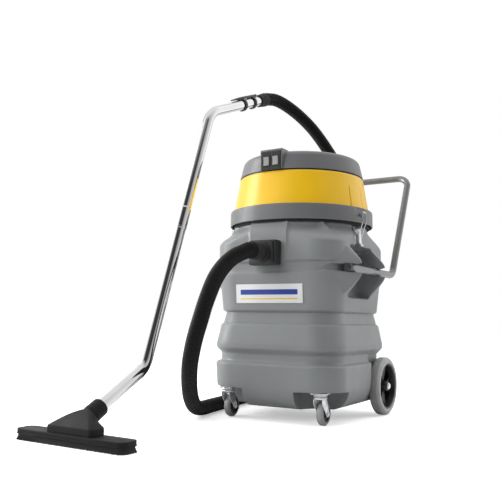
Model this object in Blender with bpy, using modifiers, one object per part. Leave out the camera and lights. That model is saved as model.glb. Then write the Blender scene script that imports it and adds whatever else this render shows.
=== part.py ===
"""Wet and dry shop vacuum: moulded tank, lift-off motor head, push handle, hose, wand and floor tool.

Metres, +Z up. Every piece is modelled in the machine's own axes (origin on the floor under the
tank's axis, front towards -Y) and hangs from one empty that stands at MACHINE_PLACE.
"""

import math

import bmesh
import bpy
from mathutils import Vector

# ---- driving sizes -------------------------------------------------------------------------
MACHINE_PLACE = (0.064, 0.2135, 0.0)  # puts the origin under the middle of the whole outfit
GAP = 0.0003  # between faces that touch
WALL = 0.006  # moulded tank wall
SEGMENTS = 48  # around a large turned piece
SMALL_SEGMENTS = 20  # around a small turned piece

# Tank: (height, half width, corner radius), from the mouth down to the belly
MOUTH_RADIUS = 0.236
MOUTH_TOP = 0.660
CORNER = 0.100
TANK_SECTIONS = (
    (MOUTH_TOP, MOUTH_RADIUS, MOUTH_RADIUS),
    (0.645, MOUTH_RADIUS, MOUTH_RADIUS),
    (0.600, 0.240, CORNER),
    (0.527, 0.240, CORNER),
    (0.522, 0.232, CORNER),
    (0.493, 0.232, CORNER),
    (0.488, 0.2375, CORNER),
    (0.363, 0.2275, CORNER),
    (0.357, 0.2165, CORNER),
    (0.326, 0.2165, CORNER),
    (0.318, 0.231, CORNER),
    (0.250, 0.2425, CORNER),
    (0.238, 0.2425, CORNER),
    (0.220, 0.230, CORNER),
    (0.193, 0.230, CORNER),
    (0.187, 0.2435, CORNER),
    (0.105, 0.240, CORNER),
    (0.075, 0.230, 0.095),
    (0.055, 0.210, 0.085),
    (0.045, 0.185, 0.070),
)
TANK_REAR_EXTRA = 0.016  # the rear wall stands this much further back than the front wall

# Side pockets with jaws that hold the handle
POCKET_FRONT, POCKET_REAR = -0.110, 0.075
POCKET_LOW, POCKET_HIGH = 0.416, 0.578
POCKET_FLOOR = 0.187
POCKET_FLARE = 0.014
JAW_TIP_X = 0.284
JAW_LIP_GAP = 0.031

# Latches
LATCH_Y = -0.045
LATCH_RECESS_X = 0.226
LATCH_RECESS_HALF = 0.021
LATCH_RECESS_LOW = 0.586
LEVER_PIVOT = (0.2400, 0.640)  # x, z
HOOK_PIVOT = (0.2475, 0.618)  # x, z

# Inlet
INLET_Z = 0.552
INLET_FACE_Y = -0.290
INLET_SIZE = (0.101, 0.081)
LABEL_HEIGHTS = (0.3876, 0.4507)

# Handle
TUBE_RADIUS = 0.0125
HANDLE_X = 0.2564
HANDLE_BAR_Z = 0.504
HANDLE_FRONT_Y = -0.158
HANDLE_KNEE_Y = 0.2475
HANDLE_TOP = (0.457, 0.915)  # y, z of the crossbar
HANDLE_BEND = 0.045

# Running gear
WHEEL_RADIUS, WHEEL_WIDTH = 0.102, 0.040
WHEEL_OUTER_X, WHEEL_Y = 0.262, 0.1855
RIM_RADIUS = 0.080
AXLE_RADIUS = 0.008
ARCH_X, ARCH_Y, ARCH_TOP = 0.213, 0.070, 0.216
AXLE_CHANNEL_Y, AXLE_CHANNEL_TOP = 0.150, 0.125
CASTER_X, CASTER_Y = 0.174, -0.200
CASTER_TOP = 0.1045
CASTER_RADIUS, CASTER_WIDTH = 0.036, 0.024
CASTER_TRAIL = 0.024
CASTER_NOTCH = 0.078

# Head
HEAD_LOW, RIM_TOP = 0.664, 0.717
HEAD_RADIUS = 0.257
COVER_LOW_RADIUS, COVER_TOP_RADIUS = 0.2437, 0.2238
COVER_TOP = 0.8344
CAP_LOW = 0.8396
CAP_EDGE_RADIUS, CAP_EDGE_Z, CAP_TOP = 0.2114, 0.892, 0.9075
SHELL = 0.003
INTAKE_RADIUS = 0.024  # the float ball closes this
BOX_HALF, BOX_FRONT_Y, BOX_TOP = 0.042, -0.2275, 0.909
SWITCH_Z = 0.868
ROCKER_X = 0.0175
ROCKER_SIZE = (0.0205, 0.0305)

# Wand and floor tool, in the plane x = WAND_X; pairs are (y, z)
WAND_X = -0.2175
WAND_RADIUS = 0.019
WAND_FOOT, WAND_KNEE = (-0.785, 0.0834), (-0.5946, 0.1843)
WAND_SHOULDER, WAND_END = (-0.2827, 1.0553), (0.0450, 1.1920)
WAND_JOINT_Z = 0.620
TOOL_LENGTH, TOOL_DEPTH = 0.395, 0.066
TOOL_Y = -0.866
TOOL_LOW, TOOL_HIGH = 0.016, 0.030

# Hose
HOSE_RADIUS = 0.025
CUFF_RADIUS = 0.0285
CUFF_LENGTH = 0.055
HOSE_STRAIGHT = 0.020  # straight run as the hose leaves each cuff
HOSE_SPACING = 0.055
HOSE_ROUTE = (
    (-0.006, -0.4520, 0.5180),
    (-0.015, -0.5150, 0.4640),
    (-0.028, -0.5460, 0.3950),
    (-0.047, -0.5530, 0.3290),
    (-0.075, -0.5430, 0.2640),
    (-0.109, -0.5140, 0.1970),
    (-0.145, -0.4660, 0.1370),
    (-0.184, -0.4030, 0.0850),
    (-0.222, -0.3280, 0.0460),
    (-0.254, -0.2450, 0.0280),
    (-0.275, -0.1550, 0.0255),
    (-0.291, -0.0550, 0.0255),
    (-0.307, 0.0600, 0.0255),
    (-0.320, 0.1800, 0.0255),
    (-0.323, 0.2900, 0.0260),
    (-0.299, 0.3950, 0.0370),
    (-0.250, 0.4850, 0.0790),
    (-0.185, 0.5430, 0.1550),
    (-0.122, 0.5720, 0.2600),
    (-0.072, 0.5830, 0.3850),
    (-0.045, 0.5850, 0.5150),
    (-0.035, 0.5780, 0.6450),
    (-0.034, 0.5610, 0.7650),
    (-0.037, 0.5320, 0.8640),
    (-0.047, 0.4920, 0.9420),
    (-0.063, 0.4470, 1.0080),
    (-0.089, 0.4020, 1.0740),
    (-0.126, 0.3530, 1.1430),
    (-0.164, 0.3050, 1.1940),
    (-0.196, 0.2450, 1.2270),
    (-0.212, 0.1800, 1.2350),
)

COLOURS = {
    "grey": (0.28, 0.29, 0.30, 1.0),
    "dark_grey": (0.10, 0.10, 0.105, 1.0),
    "black": (0.02, 0.02, 0.02, 1.0),
    "yellow": (0.90, 0.70, 0.06, 1.0),
    "steel": (0.62, 0.62, 0.63, 1.0),
    "tread": (0.33, 0.33, 0.34, 1.0),
    "white": (0.80, 0.80, 0.80, 1.0),
    "pale": (0.62, 0.60, 0.54, 1.0),
}
METALS = {"steel"}
SIDES = (("left", -1), ("right", 1))


# ---- building blocks -----------------------------------------------------------------------
def clear_scene():
    """Removes whatever objects the new scene holds."""
    for old in list(bpy.data.objects):
        bpy.data.objects.remove(old, do_unlink=True)


def new_collection(name):
    """Returns a new collection that is linked to the scene."""
    made = bpy.data.collections.new(name)
    bpy.context.scene.collection.children.link(made)
    return made


clear_scene()
PARTS = new_collection("shop_vacuum")
CUTTERS = new_collection("cutters")
PLACE = bpy.data.objects.new("machine_place", None)
PARTS.objects.link(PLACE)
PLACE.location = MACHINE_PLACE


def add_object(name, mesh, colour=None):
    """Links a mesh as a visible piece with its own material, or as a hidden cutter without one."""
    made = bpy.data.objects.new(name, mesh)
    made.parent = PLACE
    if colour is None:
        CUTTERS.objects.link(made)
        made.hide_render = True
        made.display_type = "WIRE"
        return made
    PARTS.objects.link(made)
    material = bpy.data.materials.new(name)
    material.use_nodes = True
    shader = material.node_tree.nodes["Principled BSDF"]
    shader.inputs["Base Color"].default_value = COLOURS[colour]
    shader.inputs["Metallic"].default_value = 1.0 if colour in METALS else 0.0
    shader.inputs["Roughness"].default_value = 0.25 if colour in METALS else 0.5
    mesh.materials.append(material)
    return made


def mesh_from(name, work):
    """Turns a bmesh into a mesh, with its faces pointing outwards."""
    bmesh.ops.recalc_face_normals(work, faces=work.faces)
    mesh = bpy.data.meshes.new(name)
    work.to_mesh(mesh)
    work.free()
    return mesh


def box(name, low, high, colour=None):
    """A box between two corners, its origin at its middle."""
    low, high = Vector(low), Vector(high)
    work = bmesh.new()
    bmesh.ops.create_cube(work, size=1.0)
    bmesh.ops.scale(work, vec=high - low, verts=work.verts)
    made = add_object(name, mesh_from(name, work), colour)
    made.location = (low + high) / 2
    return made


def cylinder(name, start, end, radius, colour=None, segments=SMALL_SEGMENTS, end_radius=None):
    """A cylinder or cone between two points."""
    start, end = Vector(start), Vector(end)
    work = bmesh.new()
    bmesh.ops.create_cone(
        work,
        cap_ends=True,
        segments=segments,
        radius1=radius,
        radius2=radius if end_radius is None else end_radius,
        depth=(end - start).length,
    )
    made = add_object(name, mesh_from(name, work), colour)
    made.location = (start + end) / 2
    made.rotation_euler = (end - start).to_track_quat("Z", "Y").to_euler()
    return made


def hull(name, points, colour=None):
    """The convex body around some corner points."""
    work = bmesh.new()
    for point in points:
        work.verts.new(point)
    found = bmesh.ops.convex_hull(work, input=work.verts)
    bmesh.ops.delete(work, geom=found["geom_interior"], context="VERTS")
    return add_object(name, mesh_from(name, work), colour)


def loft(name, rings, colour=None):
    """A closed body through rings that all have the same number of points."""
    work = bmesh.new()
    loops = [[work.verts.new(point) for point in ring] for ring in rings]
    count = len(loops[0])
    for above, below in zip(loops, loops[1:]):
        for i in range(count):
            j = (i + 1) % count
            work.faces.new((above[i], above[j], below[j], below[i]))
    work.faces.new(loops[0])
    work.faces.new(loops[-1])
    return add_object(name, mesh_from(name, work), colour)


def turned(name, profile, colour=None, closed=True, steps=SEGMENTS, place=(0, 0, 0), axis=None):
    """Spins (radius, height) points, listed down the outer side, about +Z or another axis."""
    mesh = bpy.data.meshes.new(name)
    edges = [(i, i + 1) for i in range(len(profile) - 1)]
    if closed:
        edges.append((len(profile) - 1, 0))
    mesh.from_pydata([(radius, 0.0, height) for radius, height in profile], edges, [])
    made = add_object(name, mesh, colour)
    made.location = place
    if axis is not None:
        made.rotation_euler = Vector(axis).to_track_quat("Z", "Y").to_euler()
    screw = made.modifiers.new("turn", "SCREW")
    screw.steps = screw.render_steps = steps
    screw.use_merge_vertices = True
    screw.merge_threshold = 0.00001
    screw.use_smooth_shade = True
    return made


def filleted(corners, radius, steps=6):
    """Points along straight runs whose corners are rounded by arcs of one radius."""
    points = [Vector(corners[0])]
    for before, corner, after in zip(corners, corners[1:], corners[2:]):
        before, corner, after = Vector(before), Vector(corner), Vector(after)
        back, ahead = (before - corner).normalized(), (after - corner).normalized()
        half = back.angle(ahead) / 2
        reach = radius / math.tan(half)
        centre = corner + (back + ahead).normalized() * radius / math.sin(half)
        first, last = corner + back * reach - centre, corner + ahead * reach - centre
        turn = first.angle(last)
        for i in range(steps + 1):
            share = i / steps
            mixed = first * math.sin((1 - share) * turn) + last * math.sin(share * turn)
            points.append(centre + mixed / math.sin(turn))
    points.append(Vector(corners[-1]))
    return points


def smooth_route(route, spacing):
    """Points read at an even spacing from a Catmull-Rom curve through the route's points."""
    knots = [Vector(point) for point in route]
    knots = [2 * knots[0] - knots[1]] + knots + [2 * knots[-1] - knots[-2]]
    fine = []
    for a, b, c, d in zip(knots, knots[1:], knots[2:], knots[3:]):
        for i in range(24):
            t = i / 24
            fine.append(
                0.5 * (2 * b + (c - a) * t + (2 * a - 5 * b + 4 * c - d) * t * t
                       + (3 * b - 3 * c + d - a) * t * t * t)
            )
    fine.append(knots[-2])
    lengths = [0.0]
    for first, second in zip(fine, fine[1:]):
        lengths.append(lengths[-1] + (second - first).length)
    count = round(lengths[-1] / spacing)
    points, index = [], 0
    for i in range(count + 1):
        wanted = lengths[-1] * i / count
        while index < len(fine) - 2 and lengths[index + 1] < wanted:
            index += 1
        span = lengths[index + 1] - lengths[index]
        points.append(fine[index].lerp(fine[index + 1], (wanted - lengths[index]) / span))
    return points


def tube_curve(name, points, radius, colour, resolution=2):
    """A round tube along points, kept as a curve with filled caps."""
    data = bpy.data.curves.new(name, "CURVE")
    data.dimensions = "3D"
    data.bevel_depth = radius
    data.bevel_resolution = resolution
    data.use_fill_caps = True
    spline = data.splines.new("POLY")
    spline.points.add(len(points) - 1)
    for target, point in zip(spline.points, points):
        target.co = (*point, 1.0)
    return add_object(name, data, colour)


def tube_mesh(name, points, radius, colour, resolution=3):
    """The same tube as a welded mesh, which a Boolean can cut."""
    curve = tube_curve(name + "_path", points, radius, colour, resolution)
    bpy.context.view_layer.update()
    graph = bpy.context.evaluated_depsgraph_get()
    mesh = bpy.data.meshes.new_from_object(curve.evaluated_get(graph))
    work = bmesh.new()
    work.from_mesh(mesh)
    bmesh.ops.remove_doubles(work, verts=work.verts, dist=0.00001)
    bmesh.ops.recalc_face_normals(work, faces=work.faces)
    work.to_mesh(mesh)
    work.free()
    mesh.materials.clear()
    bpy.data.objects.remove(curve, do_unlink=True)
    return add_object(name, mesh, colour)


def combine(target, tools, operation):
    """Adds one exact Boolean modifier for each tool."""
    for tool in tools:
        step = target.modifiers.new(operation.lower(), "BOOLEAN")
        step.operation = operation
        step.solver = "EXACT"
        step.object = tool
    return target


def cut(target, *tools):
    """Cuts the tools out of the target."""
    return combine(target, tools, "DIFFERENCE")


def join(target, *tools):
    """Fuses the tools with the target."""
    return combine(target, tools, "UNION")


def bevel(target, width, segments=1):
    """Rounds a piece's sharp edges."""
    step = target.modifiers.new("bevel", "BEVEL")
    step.width = width
    step.segments = segments
    step.limit_method = "ANGLE"
    step.angle_limit = math.radians(40)
    return target


def mirrored(side, point):
    """A point of the right-hand side, taken to the given side."""
    return (side * point[0], point[1], point[2])


# ---- tank ----------------------------------------------------------------------------------
def section_ring(height, half, corner, inset=0.0, arc_steps=6):
    """A rounded rectangle at one height; at the mouth its corners grow into a circle."""
    half_width = half - inset
    radius = max(corner - inset, 0.01)
    extra = TANK_REAR_EXTRA * min(1.0, (MOUTH_RADIUS - corner) / (MOUTH_RADIUS - CORNER))
    ring = []
    for quarter in range(4):
        for i in range(arc_steps + 1):
            angle = math.pi / 2 * (quarter + i / arc_steps)
            x_sign = 1 if quarter in (0, 3) else -1
            y_sign = 1 if quarter in (0, 1) else -1
            centre_x = x_sign * (half_width - radius + 0.0005)
            centre_y = y_sign * (half_width - radius + 0.0005) + (extra if y_sign > 0 else 0.0)
            x, y = centre_x + radius * math.cos(angle), centre_y + radius * math.sin(angle)
            ring.append((x, y, height))
    return ring


def jaw_points(side, fore, up):
    """Corners of one jaw: fore is -1 in front of the pocket and 1 behind it, up is 1 or -1."""
    lip = HANDLE_BAR_Z + up * JAW_LIP_GAP / 2
    apex = HANDLE_BAR_Z + up * 0.073
    wall = POCKET_FRONT if fore < 0 else POCKET_REAR
    corner_y = -0.214 if fore < 0 else 0.214 + TANK_REAR_EXTRA
    flat = (
        (JAW_TIP_X, wall + fore * 0.016, lip),
        (JAW_TIP_X - 0.003, wall + fore * 0.016, lip + up * 0.010),
        (0.204, corner_y, lip),
        (0.204, corner_y - fore * 0.012, lip + up * 0.012),
        (0.238, wall + fore * 0.036, apex),
        (0.238, wall - fore * 0.004, apex),
        (JAW_TIP_X - 0.004, wall - fore * 0.004, lip),
        (0.205, wall - fore * 0.004, lip),
        (0.205, wall - fore * 0.004, apex),
    )
    return [mirrored(side, point) for point in flat]


def pocket_tool(name, side, grow=0.0):
    """The hand pocket's space, flared outwards, grown on all sides by the wall where asked."""
    points = []
    for x, flare in ((POCKET_FLOOR - grow, 0.0), (0.300, POCKET_FLARE)):
        for y in (POCKET_FRONT - flare - grow, POCKET_REAR + flare + grow):
            for z in (POCKET_LOW - grow, POCKET_HIGH + grow):
                points.append(mirrored(side, (x, y, z)))
    return hull(name, points)


def latch_tool(name, side, grow=0.0):
    """The recess that the latch stands in, open to the outside and at the top."""
    low = (LATCH_RECESS_X - grow, LATCH_Y - LATCH_RECESS_HALF - grow, LATCH_RECESS_LOW - grow)
    high = (0.300, LATCH_Y + LATCH_RECESS_HALF + grow, 0.700)
    xs = sorted((side * low[0], side * high[0]))
    return box(name, (xs[0], low[1], low[2]), (xs[1], high[1], high[2]))


def caster_tool(name, side, grow=0.0):
    """The notch over a caster: a quarter-round inner wall, open at the tank's front corner."""
    radius = CASTER_NOTCH + grow
    outline = [(0.300, -0.320), (CASTER_X - radius, -0.320)]
    for i in range(7):
        angle = math.pi - math.pi / 2 * i / 6
        outline.append((CASTER_X + radius * math.cos(angle), CASTER_Y + radius * math.sin(angle)))
    outline.append((0.300, CASTER_Y + radius))
    rings = []
    for height in (CASTER_TOP + grow, -0.010):
        rings.append([mirrored(side, (x, y, height)) for x, y in outline])
    return loft(name, rings)


def arch_tool(name, side, grow=0.0):
    """The space that the rear wheel turns in, open outwards, downwards and to the rear."""
    xs = sorted((side * (ARCH_X - grow), side * 0.300))
    return box(name, (xs[0], ARCH_Y - grow, -0.010), (xs[1], 0.350, ARCH_TOP + grow))


def hollow_tools(label, grow):
    """All the shapes that are taken out of the tank's outside, or kept out of its inside."""
    tools = []
    for word, side in SIDES:
        tools.append(pocket_tool(f"{label}_pocket_{word}", side, grow))
        tools.append(latch_tool(f"{label}_latch_{word}", side, grow))
        tools.append(caster_tool(f"{label}_caster_{word}", side, grow))
        tools.append(arch_tool(f"{label}_arch_{word}", side, grow))
    low = (-0.300, AXLE_CHANNEL_Y - grow, -0.010)
    tools.append(box(f"{label}_axle_channel", low, (0.300, 0.350, AXLE_CHANNEL_TOP + grow)))
    return tools


def build_tank():
    """The moulded tank: lofted outside with jaws and inlet pad, minus its inside."""
    tank = loft("tank", [section_ring(*section) for section in TANK_SECTIONS], "grey")
    jaws = []
    for word, side in SIDES:
        for fore in (-1, 1):
            for up in (-1, 1):
                jaws.append(hull(f"jaw_{word}_{fore}_{up}", jaw_points(side, fore, up)))
    pad = box("inlet_pad", (-0.069, -0.243, 0.5285), (0.069, -0.195, 0.648))
    join(tank, *jaws, pad)
    cut(tank, *hollow_tools("outside", 0.0))
    inner = [section_ring(*section, inset=WALL) for section in TANK_SECTIONS[:-1]]
    inner[0] = [(x, y, MOUTH_TOP + 0.010) for x, y, _ in inner[0]]
    inside = loft("tank_inside", inner)
    cut(inside, *hollow_tools("inside", WALL))
    cut(tank, inside)
    opening = cylinder("inlet_hole", (0, -0.300, INLET_Z), (0, -0.200, INLET_Z), 0.0285)
    cut(tank, opening)
    return tank


def build_inlet():
    """The square inlet moulding, its spigot through the tank wall and the deflector inside."""
    half_w, half_h = INLET_SIZE[0] / 2, INLET_SIZE[1] / 2
    flange = box(
        "inlet_flange",
        (-half_w, INLET_FACE_Y, INLET_Z - half_h),
        (half_w, -0.243 - GAP, INLET_Z + half_h),
        "black",
    )
    bevel(flange, 0.006, 2)
    spigot = cylinder("inlet_spigot", (0, -0.260, INLET_Z), (0, -0.226, INLET_Z), 0.028)
    join(flange, spigot)
    outline = [(0.0, -0.2257, INLET_Z), (0.0, -0.196, INLET_Z), (0.0, -0.196, INLET_Z - 0.060)]
    tube_mesh("inlet_deflector", filleted(outline, 0.022, 4), 0.024, "black", 2)
    corners = []
    for z in LABEL_HEIGHTS:
        face_y = -0.2280 - 0.08 * (z - 0.363) - GAP
        corners += [(x, y, z) for x in (-0.126, 0.126) for y in (face_y, face_y - 0.0012)]
    hull("label_plate", corners, "white")


# ---- handle --------------------------------------------------------------------------------
def build_handle():
    """The bent tube that lies in both side grooves, and its end caps."""
    top_y, top_z = HANDLE_TOP
    corners = [
        (-HANDLE_X, HANDLE_FRONT_Y, HANDLE_BAR_Z),
        (-HANDLE_X, HANDLE_KNEE_Y, HANDLE_BAR_Z),
        (-HANDLE_X, top_y, top_z),
        (HANDLE_X, top_y, top_z),
        (HANDLE_X, HANDLE_KNEE_Y, HANDLE_BAR_Z),
        (HANDLE_X, HANDLE_FRONT_Y, HANDLE_BAR_Z),
    ]
    tube_curve("handle_frame", filleted(corners, HANDLE_BEND), TUBE_RADIUS, "dark_grey", 3)
    for word, side in SIDES:
        start = (side * HANDLE_X, HANDLE_FRONT_Y - GAP, HANDLE_BAR_Z)
        end = (side * HANDLE_X, HANDLE_FRONT_Y - 0.024, HANDLE_BAR_Z)
        bevel(cylinder(f"handle_cap_{word}", start, end, 0.0145, "black"), 0.002)


# ---- latches -------------------------------------------------------------------------------
def build_latch(word, side):
    """One toggle latch: bracket on the tank, lever with a curled lip, and wire hook."""
    pivot_x, pivot_z = LEVER_PIVOT
    ears = []
    for ear, y in (("front", LATCH_Y - 0.0150), ("rear", LATCH_Y + 0.0125)):
        xs = sorted((side * (LATCH_RECESS_X + 0.001), side * 0.2425))
        ears.append(box(f"latch_ear_{word}_{ear}", (xs[0], y, 0.630), (xs[1], y + 0.0025, 0.647)))
    xs = sorted((side * (LATCH_RECESS_X + GAP), side * (LATCH_RECESS_X + 0.0025)))
    low, high = (xs[0], LATCH_Y - 0.015, 0.596), (xs[1], LATCH_Y + 0.015, 0.650)
    bracket = box(f"latch_bracket_{word}", low, high, "steel")
    join(bracket, *ears)
    outline = (
        (pivot_x - 0.0040, pivot_z + 0.005),
        (pivot_x + 0.0040, pivot_z + 0.005),
        (pivot_x + 0.0085, pivot_z - 0.012),
        (pivot_x + 0.0085, pivot_z - 0.046),
        (pivot_x + 0.0150, pivot_z - 0.053),
        (pivot_x + 0.0130, pivot_z - 0.055),
        (pivot_x + 0.0055, pivot_z - 0.048),
        (pivot_x + 0.0050, pivot_z - 0.012),
    )
    rings = []
    for y in (-0.0100, 0.0100):
        rings.append([(side * (x - pivot_x), y, z - pivot_z) for x, z in outline])
    lever = loft(f"latch_lever_{word}", rings, "steel")
    lever.location = (side * pivot_x, LATCH_Y, pivot_z)
    hook_x, hook_z = HOOK_PIVOT
    leg = ((hook_x, hook_z), (0.2620, 0.664), (0.2620, 0.700))
    front = [(side * (x - hook_x), -0.0140, z - hook_z) for x, z in leg]
    rear = [(x, 0.0140, z) for x, _, z in reversed(front)]
    hook = tube_curve(f"latch_hook_{word}", filleted(front + rear, 0.004, 3), 0.0014, "steel", 2)
    hook.location = (side * hook_x, LATCH_Y, hook_z)


# ---- running gear --------------------------------------------------------------------------
def build_rear_wheel(word, side):
    """Tyre, dished hub, axle clip and the block that carries the axle under the tank."""
    outer, inner = WHEEL_OUTER_X, WHEEL_OUTER_X - WHEEL_WIDTH
    centre = (side * (outer + inner) / 2, WHEEL_Y, WHEEL_RADIUS)
    half = WHEEL_WIDTH / 2
    tyre = (
        (WHEEL_RADIUS - 0.009, half),
        (WHEEL_RADIUS - 0.002, half - 0.006),
        (WHEEL_RADIUS, 0.0),
        (WHEEL_RADIUS - 0.002, 0.006 - half),
        (WHEEL_RADIUS - 0.009, -half),
        (RIM_RADIUS, -half),
        (RIM_RADIUS, half),
    )
    turned(f"rear_tyre_{word}", tyre, "tread", place=centre, axis=(side, 0, 0), steps=40)
    bore = AXLE_RADIUS + GAP
    hub = (
        (RIM_RADIUS - GAP, half - 0.003),
        (RIM_RADIUS - GAP, 0.003 - half),
        (RIM_RADIUS - 0.006, 0.003 - half),
        (RIM_RADIUS - 0.006, -0.004),
        (0.020, -0.004),
        (0.018, 0.004 - half),
        (bore, 0.004 - half),
        (bore, half - 0.004),
        (0.018, half - 0.004),
        (0.020, 0.004),
        (RIM_RADIUS - 0.006, 0.004),
        (RIM_RADIUS - 0.006, half - 0.003),
    )
    turned(f"rear_hub_{word}", hub, "black", place=centre, axis=(side, 0, 0), steps=40)
    clip_start = (side * (outer - 0.0005), WHEEL_Y, WHEEL_RADIUS)
    clip_end = (side * (outer + 0.005), WHEEL_Y, WHEEL_RADIUS)
    cylinder(f"axle_clip_{word}", clip_start, clip_end, 0.012, "steel")
    xs = sorted((side * 0.125, side * 0.150))
    block = box(
        f"axle_block_{word}",
        (xs[0], WHEEL_Y - 0.020, 0.086),
        (xs[1], WHEEL_Y + 0.020, AXLE_CHANNEL_TOP - GAP),
        "black",
    )
    hole_start = (xs[0] - 0.01, WHEEL_Y, WHEEL_RADIUS)
    hole_end = (xs[1] + 0.01, WHEEL_Y, WHEEL_RADIUS)
    cut(block, cylinder(f"axle_block_hole_{word}", hole_start, hole_end, bore))


def build_axle():
    """The rear axle, a plain bar between the two clips."""
    reach = WHEEL_OUTER_X - 0.0005 - GAP
    start, end = (-reach, WHEEL_Y, WHEEL_RADIUS), (reach, WHEEL_Y, WHEEL_RADIUS)
    cylinder("rear_axle", start, end, AXLE_RADIUS, "steel")


def build_caster(word, side):
    """Top plate with race, swivelling fork, wheel and wheel axle."""
    x, y = side * CASTER_X, CASTER_Y
    low, high = (x - 0.027, y - 0.023, 0.1010), (x + 0.027, y + 0.023, CASTER_TOP - GAP)
    plate = box(f"caster_plate_{word}", low, high, "steel")
    race = turned(
        f"caster_race_{word}",
        ((0.0, 0.1020), (0.022, 0.1020), (0.025, 0.0975), (0.022, 0.0935), (0.0, 0.0935)),
        closed=False,
        steps=SMALL_SEGMENTS,
        place=(x, y, 0.0),
    )
    join(plate, race)
    crown = (
        (0.0, 0.0932),
        (0.0200, 0.0932),
        (0.0235, 0.0890),
        (0.0200, 0.0840),
        (0.0, 0.0840),
    )
    fork = turned(
        f"caster_fork_{word}", crown, "steel", closed=False, steps=SMALL_SEGMENTS, place=(x, y, 0)
    )
    wheel_y = y + CASTER_TRAIL
    legs = []
    for label, sign in (("a", -1), ("b", 1)):
        near, far = x + sign * 0.0140, x + sign * 0.0165
        points = []
        for px in (near, far):
            points += [(px, y - 0.014, 0.0850), (px, y + 0.014, 0.0850), (px, y - 0.014, 0.0790)]
            points += [(px, wheel_y - 0.009, CASTER_RADIUS - 0.008)]
            points += [(px, wheel_y + 0.009, CASTER_RADIUS - 0.008)]
            points += [(px, wheel_y + 0.010, CASTER_RADIUS + 0.010)]
        legs.append(hull(f"caster_leg_{word}_{label}", points))
    join(fork, *legs)
    bore = 0.0040 + GAP
    pin_start, pin_end = (x - 0.0200, wheel_y, CASTER_RADIUS), (x + 0.0200, wheel_y, CASTER_RADIUS)
    cylinder(f"caster_axle_{word}", pin_start, pin_end, 0.0040, "steel")
    hole_start, hole_end = (x - 0.0300, wheel_y, CASTER_RADIUS), (x + 0.0300, wheel_y, CASTER_RADIUS)
    cut(fork, cylinder(f"caster_fork_hole_{word}", hole_start, hole_end, bore))
    half = CASTER_WIDTH / 2
    centre = (x, wheel_y, CASTER_RADIUS)
    tread = (
        (CASTER_RADIUS - 0.004, half),
        (CASTER_RADIUS, half - 0.005),
        (CASTER_RADIUS, 0.005 - half),
        (CASTER_RADIUS - 0.004, -half),
        (0.026, -half),
        (0.026, half),
    )
    turned(f"caster_tyre_{word}", tread, "tread", place=centre, axis=(1, 0, 0), steps=32)
    hub = ((0.026 - GAP, half), (0.026 - GAP, -half), (bore, -half), (bore, half))
    turned(f"caster_hub_{word}", hub, "black", place=centre, axis=(1, 0, 0), steps=24)


# ---- head ----------------------------------------------------------------------------------
def build_head_shells():
    """Rim dish, seal, cover, shadow-gap ring and cap with its switch box."""
    inner = 0.239
    rim = (
        (HEAD_RADIUS - 0.0015, RIM_TOP),
        (HEAD_RADIUS, HEAD_LOW),
        (HEAD_RADIUS - 0.004, HEAD_LOW),
        (HEAD_RADIUS - 0.0055, RIM_TOP - 0.004),
        (inner, RIM_TOP - 0.004),
        (inner, HEAD_LOW),
        (INTAKE_RADIUS, HEAD_LOW),
        (INTAKE_RADIUS, HEAD_LOW + 0.004),
        (inner - 0.004, HEAD_LOW + 0.004),
        (inner - 0.004, RIM_TOP),
    )
    head_base = turned("head_base", rim, "grey")
    catches = []
    for word, side in SIDES:
        xs = sorted((side * 0.2490, side * 0.2580))
        low, high = (xs[0], LATCH_Y - 0.011, 0.686), (xs[1], LATCH_Y + 0.011, 0.694)
        catches.append(box(f"catch_{word}", low, high))
    join(head_base, *catches)
    seal = (
        (0.2520, HEAD_LOW - GAP),
        (0.2500, 0.6535),
        (0.2400, 0.6535),
        (0.2385, MOUTH_TOP + GAP),
        (0.2240, MOUTH_TOP + GAP),
        (0.2240, HEAD_LOW - GAP),
    )
    turned("head_seal", seal, "black")
    cover = (
        (COVER_TOP_RADIUS, COVER_TOP),
        (COVER_LOW_RADIUS, RIM_TOP + GAP),
        (COVER_LOW_RADIUS - SHELL, RIM_TOP + GAP),
        (COVER_TOP_RADIUS - SHELL, COVER_TOP),
    )
    turned("motor_cover", cover, "yellow")
    low, high = COVER_TOP + GAP, CAP_LOW - GAP
    ring = ((0.2210, high), (0.2210, low), (0.2080, low), (0.2080, high))
    turned("cap_gap_ring", ring, "black")
    cap = (
        (0.0, CAP_TOP),
        (0.1950, CAP_TOP - 0.002),
        (0.2060, CAP_EDGE_Z + 0.008),
        (CAP_EDGE_RADIUS, CAP_EDGE_Z),
        (COVER_TOP_RADIUS, CAP_LOW),
        (COVER_TOP_RADIUS - SHELL, CAP_LOW),
        (CAP_EDGE_RADIUS - SHELL, CAP_EDGE_Z),
        (0.1940, CAP_TOP - 0.002 - SHELL),
        (0.0, CAP_TOP - SHELL),
    )
    top_cap = turned("top_cap", cap, "grey", closed=False)
    switch_box = hull(
        "switch_box",
        [
            (x, y, z)
            for x in (-BOX_HALF, BOX_HALF)
            for y, z in (
                (BOX_FRONT_Y, CAP_LOW),
                (BOX_FRONT_Y, BOX_TOP),
                (-0.200, BOX_TOP + 0.001),
                (-0.150, 0.9062),
                (-0.150, 0.9045),
                (-0.195, 0.880),
                (-0.195, CAP_LOW),
            )
        ],
    )
    join(top_cap, switch_box)
    wells = []
    for word, side in SIDES:
        half_w, half_h = ROCKER_SIZE[0] / 2 + 0.0006, ROCKER_SIZE[1] / 2 + 0.0006
        x = side * ROCKER_X
        low = (x - half_w, -0.2400, SWITCH_Z - half_h)
        wells.append(box(f"switch_well_{word}", low, (x + half_w, -0.2150, SWITCH_Z + half_h)))
    cut(top_cap, *wells)
    low, high = (-0.038, BOX_FRONT_Y - 0.0028, 0.8370), (0.038, BOX_FRONT_Y - GAP, 0.9020)
    bezel = box("switch_bezel", low, high, "black")
    cut(bezel, *wells)


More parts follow.
